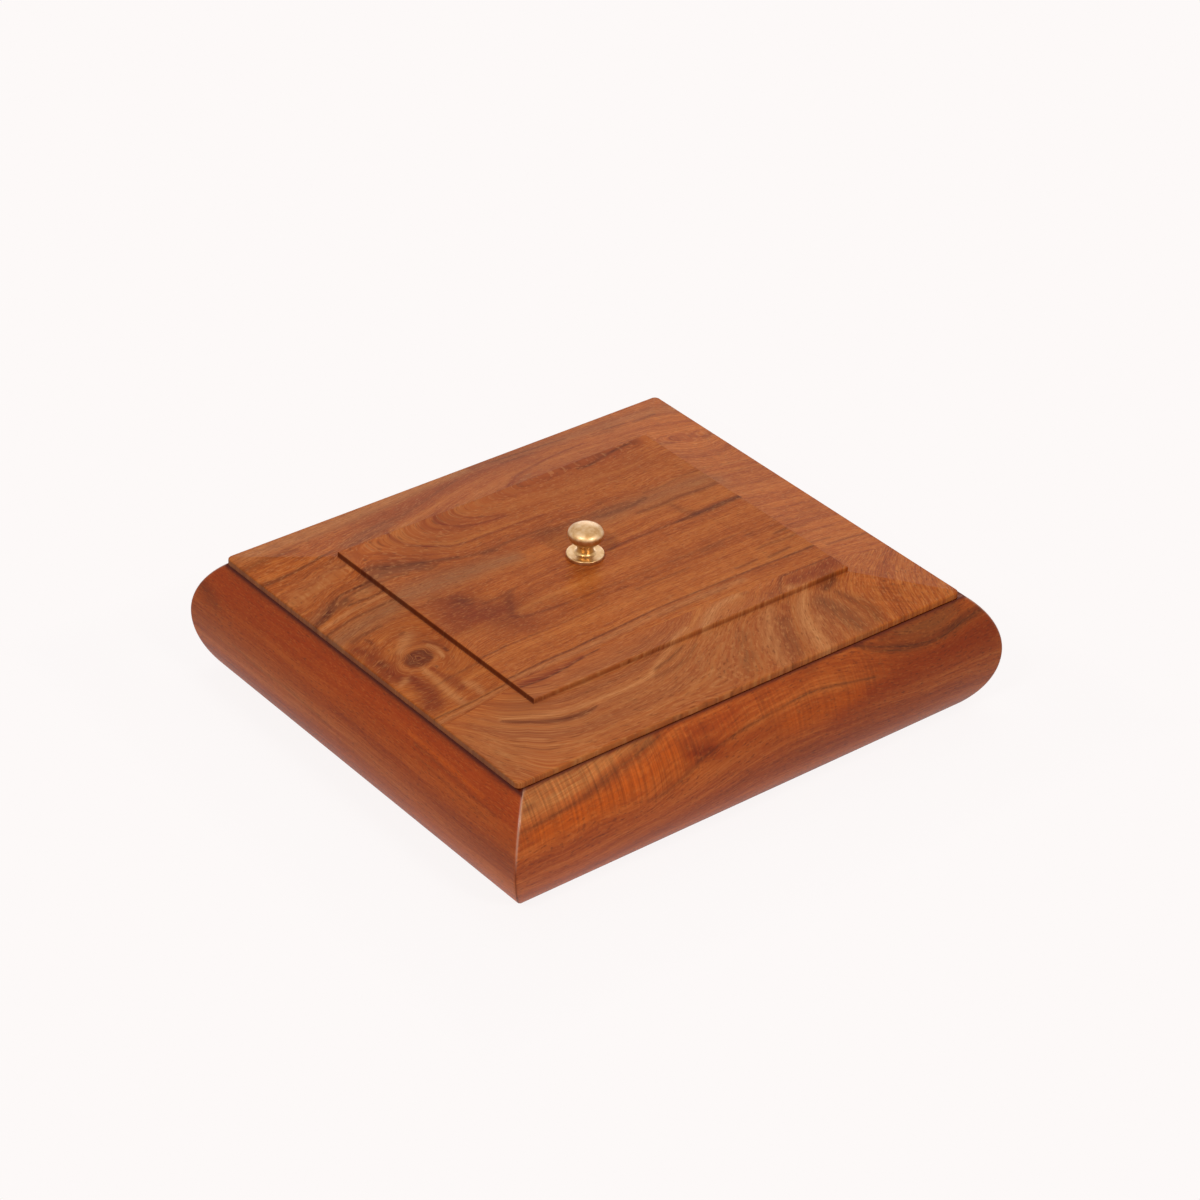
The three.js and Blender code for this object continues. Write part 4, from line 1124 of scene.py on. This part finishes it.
def plywood(name, stops, plies_mm, roughness):
    """Plywood: a rotary-cut face with wide wavy figure and short pores, plies on its edges."""
    material, tree, shader = new_material(name)
    place = add(tree, "TexCoord", {}, out="Object")
    drawn = add(tree, "Mapping", {"Vector": place, "Scale": (1.0, 9.0, 1.0)})
    figure = add(tree, "TexNoise", {"Vector": drawn, "Scale": 9.0, "Detail": 6.0, "Distortion": 0.8})
    fine = add(tree, "Mapping", {"Vector": drawn, "Scale": (60.0, 110.0, 60.0)})
    fine = add(tree, "TexNoise", {"Vector": fine, "Scale": 1.0, "Detail": 5.0})
    up = add(tree, "SeparateXYZ", {0: place}, out="Z")
    plies = add(tree, "Math", {0: up, 1: math.pi / (plies_mm * MM)}, operation="MULTIPLY")
    plies = add(tree, "Math", {0: plies}, operation="SINE")
    tone = add(tree, "Math", {0: fine, 1: 0.9, 2: figure}, operation="MULTIPLY_ADD")
    tone = add(tree, "Math", {0: plies, 1: 0.08, 2: tone}, operation="MULTIPLY_ADD")
    tone = add(tree, "Math", {0: tone, 1: -0.45}, operation="ADD")
    bump = add(tree, "Bump", {"Strength": 0.3, "Distance": 0.0001, "Height": fine})
    tree.links.new(ramp(tree, tone, stops), shader["Base Color"])
    tree.links.new(bump, shader["Normal"])
    shader["Roughness"].default_value = roughness
    return material


# The bottom: pale warm veneer with a dull seal, so the inside reads lighter than the rails.
BOTTOM_PLYWOOD = plywood(
    "birch_plywood_sealed",
    [(0.32, "9A683C"), (0.44, "B48656"), (0.54, "C29664"), (0.68, "D2AC7C")], 1.5, 0.5)

# The tongues: the same ply, sawn and left bare, so quite dull and paler.
TONGUE_PLYWOOD = plywood(
    "birch_plywood_sawn_bare",
    [(0.30, "B08A5C"), (0.45, "C9A274"), (0.55, "D0AC80"), (0.70, "DDBE94")], 1.0, 0.75)

BRASS = brass()
STEEL = plated_steel()


# Pieces

def dress(piece, material, body, node):
    """Gives a piece its material and material slot and its moving body, and hides the CAD node that it
    stands for.
    """
    piece.data.materials.clear()
    piece.data.materials.append(material)
    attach(piece, body)
    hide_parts(node)


def knot_rings(place, grain):
    """Round the knot the grain height gives way to rings: 0 outside the halo and 1 at its heart."""
    radius = np.hypot((place[:, 0] - KNOT[0]) * 0.93, (place[:, 1] - KNOT[1]) * 1.08)
    share = np.clip((KNOT_HALO - radius) / KNOT_BLEND, 0, 1)
    share = share * share * (3 - 2 * share)
    angle = np.arctan2(place[:, 1] - KNOT[1], place[:, 0] - KNOT[0])
    uneven = 0.22 * np.sin(3 * angle + 0.6) + 0.14 * np.sin(5 * angle + 2)
    rings = KNOT_GRAIN + (radius - KNOT_HALO) * KNOT_RISE + radius * uneven
    return grain + (rings - grain) * share, radius


def painted_step_shade(place):
    """How much painted shade darkens the wall round the raised field: most on the left side."""
    from_side = HALF_LENGTH - np.abs(place[:, 0])
    from_edge = HALF_WIDTH - np.abs(place[:, 1])
    inset = np.minimum(from_side, from_edge)
    wall = (inset > MARGIN_WIDTH - COVE * 0.8) & (inset < MARGIN_WIDTH + BROW * 0.2)
    on_wall = wall & (place[:, 2] > SEAT_Z + LID_EDGE)
    left = (from_side < from_edge) & (place[:, 0] < 0)
    front = (from_side > from_edge) & (place[:, 1] < 0)
    foot = on_wall & (inset < MARGIN_WIDTH + 0.01) & (place[:, 2] < SEAT_Z + FIELD_HEIGHT - BROW - 0.01)
    at_foot = np.where(foot, np.where(front, STEP_SHADE_FRONT, STEP_SHADE_REST), 0.0)
    return np.where(on_wall & left, STEP_SHADE_LEFT, at_foot)


def lid_values(piece, grain_lines, layers, rings, run, tone, with_knot):
    """The wood attributes of a board of the lid.

    run is the way that its grain mostly takes in plan, and tone is how light its colour is made along X.
    Places count from the lid's own middle. The underside gets a quieter share of the tints.
    """
    place = vertex_places(piece) - np.array([LID_MIDDLE, 0, 0])
    below = place[:, 2] < SEAT_Z + 0.01
    spot = place[:, :2]
    grain = grain_field(spot, grain_lines)
    values = {name: painted(spot, strokes) for name, strokes in layers.items()}
    if with_knot:
        grain, radius = knot_rings(spot, grain)
        heart = np.exp(-(radius / KNOT_RADIUS) ** 7)
        middle = np.exp(-(radius / (KNOT_RADIUS - 2)) ** 4)
        halo = np.exp(-((radius - KNOT_RADIUS - 1.6) / 1.1) ** 2)
        values["stain"] = np.maximum(values["stain"] * (radius > 9), 0.8 * heart - 0.2 * middle)
        values["red"] = np.maximum(values["red"], 0.8 * heart)
        values["olive"] = np.maximum(values["olive"], 0.15 * middle)
        values["pale"] = np.maximum(values["pale"], 0.2 * halo)
    for name in values:
        values[name] = np.where(below, UNDERSIDE_TINTS * values[name], values[name])
    values["grain"] = grain + np.where(below, UNDERSIDE_GRAIN, 0.0)
    values["length"] = spot @ np.array(run) + np.where(below, UNDERSIDE_LENGTH, 0.0)
    ripples = [stroke(spot, points, strength) for strength, points in LID_RIPPLES]
    values["ripple"] = np.maximum(np.max(ripples, axis=0), LEAST_LID_RIPPLE)
    on_side = place[:, 0] < 0.05 - HALF_LENGTH
    values["edge"] = np.where(on_side & ~below, 0.45, 0.0)
    # Painted shade on the wall of the field's step, darkest on the left
    values["shade"] = painted_step_shade(place)
    tone_to_back = np.interp(place[:, 1], *np.transpose(TONE_TO_BACK))
    values["tone"] = np.interp(place[:, 0], *np.transpose(tone)) * tone_to_back
    values["rings"] = np.maximum(painted(spot, rings), 0.12)
    return values


# A rail's arris at the mitre, with its painted highlight and dark joint, and how much of the
# rail's top that the lid lies over gets painted shade
ARRIS_WIDTH = 0.55
SHADED_OVERLAP = 0.8

# How far apart in the figure the rails are set, across the grain and along it
RAIL_GRAIN_SHIFT = 57.0
RAIL_LENGTH_SHIFT = 900.0


def rail_values(piece, index, half_span, turn, offset, grain_lines, layers, ripple, tone):
    """The wood attributes of a rail. index sets each rail in another stretch of the figure.

    tone is how light its own piece of wood is at either end. The mitre's arris has a pale painted
    highlight above, its foot is dark along the joint, and the land's edge has painted shade where
    the lid lies over it.
    """
    along, down, out = rail_coordinates(piece, turn, offset)
    spot = np.stack([along - LID_MIDDLE * round(math.cos(turn)), down], -1)
    values = {name: painted(spot, strokes) for name, strokes in layers.items()}
    grain = grain_field(spot, grain_lines) if grain_lines else down
    values["grain"] = grain + RAIL_GRAIN_SHIFT * index
    values["length"] = along + RAIL_LENGTH_SHIFT * index
    values["ripple"] = np.maximum(painted(spot, ripple), 0.06)
    from_mitre = half_span + out - np.abs(along)
    arris = np.exp(-(from_mitre / ARRIS_WIDTH) ** 2)
    # Painted highlight down the upper part of the mitre's rounded arris
    values["edge"] = 0.4 * arris * np.clip((32 - down) / 10, 0, 1) * (down > 0)
    joint = 0.5 * arris * np.clip((down - 26) / 8, 0, 1)
    # Painted shade on the land's edge where the lid lies over it, and the dark joint at the mitre's foot
    overlap = max(0, LID_MIDDLE * round(math.sin(turn)))
    past_edge = np.maximum(np.maximum(down - SHADED_OVERLAP * overlap, -down), 0)
    painted_lid_shade = np.exp(-past_edge ** 2)
    values["shade"] = np.maximum(0.9 * painted_lid_shade, joint)
    values["tone"] = np.interp(along, [-half_span, half_span], tone)
    values["rings"] = np.full(len(along), 0.3)
    return values


BACK_LAYERS = {"stain": BACK_STAIN, "red": BACK_RED, "olive": BACK_OLIVE, "pale": BACK_PALE}
FRONT_LAYERS = {"stain": FRONT_STAIN, "red": FRONT_RED, "olive": FRONT_OLIVE, "pale": FRONT_PALE}

for name, node, side, steps, *figure in (
    ("figured_back_board", "lid_back_board", 1, (1.2, 0.72),
     BACK_GRAIN, BACK_LAYERS, BACK_RINGS, (1, 0), BACK_TONE, True),
    ("figured_front_board", "lid_front_board", -1, (1.0, 0.55),
     FRONT_GRAIN, FRONT_LAYERS, FRONT_RINGS, (0.6, 0.8), FRONT_TONE, False),
):
    board = lid_board(name, side, *steps)
    set_attributes(board, lid_values(board, *figure))
    dress(board, LID_WOOD, "lid", node)

FRONT_RIPPLE = [
    (3, .85, [(-122, 8, 8), (-100, 7, 8), (-80, 6, 7)]),
    (3, .4, [(-120, 17, 8), (-88, 17, 8)]),
    (3, .8, [(-75, 13, 10), (-55, 13, 12), (-38, 12, 10)]),
    (3, .5, [(-36, 8, 7), (-10, 7, 6), (8, 7, 6)]),
    (3, .35, [(16, 16, 12), (60, 16, 12)]),
]

NO_FIGURE = {"stain": [], "red": [], "olive": [], "pale": []}
FRONT_RAIL_LAYERS = {"stain": FRONT_RAIL_STAIN, "red": FRONT_RAIL_RED, "olive": FRONT_RAIL_OLIVE,
                     "pale": FRONT_RAIL_PALE}
RIGHT_RAIL_LAYERS = {**NO_FIGURE, "stain": LEFT_RAIL_STAIN}
BACK_RAIL_LAYERS = {**NO_FIGURE, "red": FRONT_RAIL_RED}
LEFT_RAIL_LAYERS = {**NO_FIGURE, "stain": LEFT_RAIL_STAIN, "red": LEFT_RAIL_RED,
                    "pale": LEFT_RAIL_PALE}

# Node, half of its span under the lid's edge, turn, place, and the figure that rail_values takes
RAILS = [
    ("front_rail", HALF_LENGTH, 0.0, (0.0, -HALF_WIDTH),
     FRONT_RAIL_GRAIN, FRONT_RAIL_LAYERS, FRONT_RIPPLE, (1.05, 0.76)),
    ("right_rail", HALF_WIDTH, math.pi / 2, (HALF_LENGTH, 0.0),
     None, RIGHT_RAIL_LAYERS, [], (0.95, 1.05)),
    ("back_rail", HALF_LENGTH, math.pi, (0.0, HALF_WIDTH),
     FRONT_RAIL_GRAIN, BACK_RAIL_LAYERS, [], (1.0, 0.9)),
    ("left_rail", HALF_WIDTH, -math.pi / 2, (-HALF_LENGTH, 0.0),
     None, LEFT_RAIL_LAYERS, [], (1.10, 1.18)),
]

for number, (node, half_span, turn, offset, *figure) in enumerate(RAILS):
    moulding = rail("moulded_" + node, half_span, turn, offset)
    set_attributes(moulding, rail_values(moulding, number, half_span, turn, offset, *figure))
    dress(moulding, RAIL_WOOD, "base", node)

dress(knob(), BRASS, "lid", "brass_knob")

# The plain and hidden pieces keep the meshes of their solids and only get their finish.
for node, material in (
    ("bottom_panel", BOTTOM_PLYWOOD),
    ("mitre_tongue_front_left", TONGUE_PLYWOOD),
    ("mitre_tongue_front_right", TONGUE_PLYWOOD),
    ("mitre_tongue_back_right", TONGUE_PLYWOOD),
    ("mitre_tongue_back_left", TONGUE_PLYWOOD),
    ("knob_screw", STEEL),
    ("screw_washer", STEEL),
):
    bpy.data.objects[node].data.materials.clear()
    bpy.data.objects[node].data.materials.append(material)


# Stage: floor, world and lamps

# The floor glows with FLOOR_GLOW beside the box and fully from GLOW_REACH on, and its paper fades
# from PAPER_WHITE to black within PAPER_FADE. Reaches are in metres.
BACKGROUND = (0.982, 0.947, 0.939, 1.0)
FLOOR_REACH = 0.6
FLOOR_DROP = 0.00005
FLOOR_GLOW = 0.93
GLOW_REACH = 0.06
PAPER_WHITE = 0.95
PAPER_FADE = 0.15

# The room's ceiling card: azimuth and elevation, cosines of its edge and full part, and levels
CARD_PLACE = (140.0, 70.0)
CARD_EDGE = 0.73
CARD_FULL = 0.88
CARD_LEVEL = 0.72
ROOM_LEVEL = 0.14


def background_rays(tree):
    """1 for the rays that see the white background: from the camera, off gloss and through glass."""
    rays = add(tree, "LightPath", {}, out="Is Camera Ray")
    for kind in ("Is Glossy Ray", "Is Transmission Ray"):
        other = add(tree, "LightPath", {}, out=kind)
        rays = add(tree, "Math", {0: rays, 1: other}, operation="MAXIMUM")
    return rays


def make_floor():
    """A pale floor, seen as the white background with the object's faint shadow.

    Its paper gets darker away from the box, so that it throws light at the box only from nearby.
    """
    mesh = bpy.data.meshes.new("floor")
    corners = [(x * FLOOR_REACH, y * FLOOR_REACH, 0) for x, y in ((-1, -1), (1, -1), (1, 1), (-1, 1))]
    mesh.from_pydata(corners, [], [(0, 1, 2, 3)])
    floor = bpy.data.objects.new("floor", mesh)
    floor.location.z = -FLOOR_DROP
    bpy.context.scene.collection.objects.link(floor)
    material, tree, _ = new_material("paper_white_matt")
    tree.nodes.clear()
    place = add(tree, "TexCoord", {}, out="Object")
    beside = add(tree, "VectorMath", {0: place}, operation="ABSOLUTE")
    beside = add(tree, "VectorMath", {0: beside, 1: CAD_BOX[1]}, operation="SUBTRACT")
    beside_x = add(tree, "SeparateXYZ", {0: beside}, out="X")
    beside_y = add(tree, "SeparateXYZ", {0: beside}, out="Y")
    beside = add(tree, "Math", {0: beside_x, 1: beside_y}, operation="MAXIMUM")
    pale = add(tree, "MapRange", {0: beside, 1: 0.0, 2: PAPER_FADE, 3: PAPER_WHITE, 4: 0.0})
    pale = add(tree, "CombineColor", {0: pale, 1: pale, 2: pale})
    paper = add(tree, "BsdfDiffuse", {"Color": pale})
    glow = add(tree, "Emission", {"Color": BACKGROUND})
    seen = background_rays(tree)
    share = add(tree, "MapRange", {0: beside, 1: 0.0, 2: GLOW_REACH, 3: FLOOR_GLOW, 4: 1.0})
    share = add(tree, "Math", {0: seen, 1: share}, operation="MULTIPLY")
    mixed = add(tree, "MixShader", {0: share, 1: paper, 2: glow})
    surface = tree.nodes.new("ShaderNodeOutputMaterial")
    tree.links.new(mixed, surface.inputs["Surface"])
    mesh.materials.append(material)


make_floor()


def make_world():
    """White for the camera and in gloss. The object is lit by a dim room with a pale ceiling card.

    The card is brightest in its middle and fades to the dim room towards its edge.
    """
    world = bpy.data.worlds.new("studio")
    bpy.context.scene.world = world
    world.use_nodes = True
    tree = world.node_tree
    tree.nodes.clear()
    looking = add(tree, "TexCoord", {}, out="Generated")
    card = {0: looking, 1: direction(*CARD_PLACE)}
    card = add(tree, "VectorMath", card, out="Value", operation="DOT_PRODUCT")
    card = add(tree, "MapRange", {0: card, 1: CARD_EDGE, 2: CARD_FULL, 3: ROOM_LEVEL, 4: CARD_LEVEL})
    room = add(tree, "CombineColor", {0: card, 1: card, 2: card})
    seen = background_rays(tree)
    colour = add(tree, "Mix", {0: seen, 6: room, 7: BACKGROUND}, data_type="RGBA")
    glow = add(tree, "Background", {"Color": colour, "Strength": 1.0})
    surface = tree.nodes.new("ShaderNodeOutputWorld")
    tree.links.new(glow, surface.inputs["Surface"])


make_world()


def make_lamp(name, azimuth, elevation, distance, width, level, glossy):
    """A round soft lamp aimed at the box. level is what a white card facing it would reach."""
    data = bpy.data.lights.new(name, "AREA")
    data.shape = "DISK"
    data.size = width
    data.energy = level * math.pi ** 2 * distance ** 2
    lamp = bpy.data.objects.new(name, data)
    away = direction(azimuth, elevation)
    lamp.location = away * distance + Vector((0, 0, 0.03))
    lamp.rotation_euler = away.to_track_quat("Z", "Y").to_euler()
    lamp.visible_glossy = glossy
    bpy.context.scene.collection.objects.link(lamp)


make_lamp("left_strobe", -70.0, 44.0, 3.2, 0.62, 0.42, True)
make_lamp("right_strobe", 3.0, 35.0, 3.2, 0.62, 0.42, True)
make_lamp("overhead_fill", 140.0, 62.0, 3.0, 1.6, 0.15, False)
make_lamp("rear_card", 138.0, 14.0, 3.0, 1.8, 0.13, True)
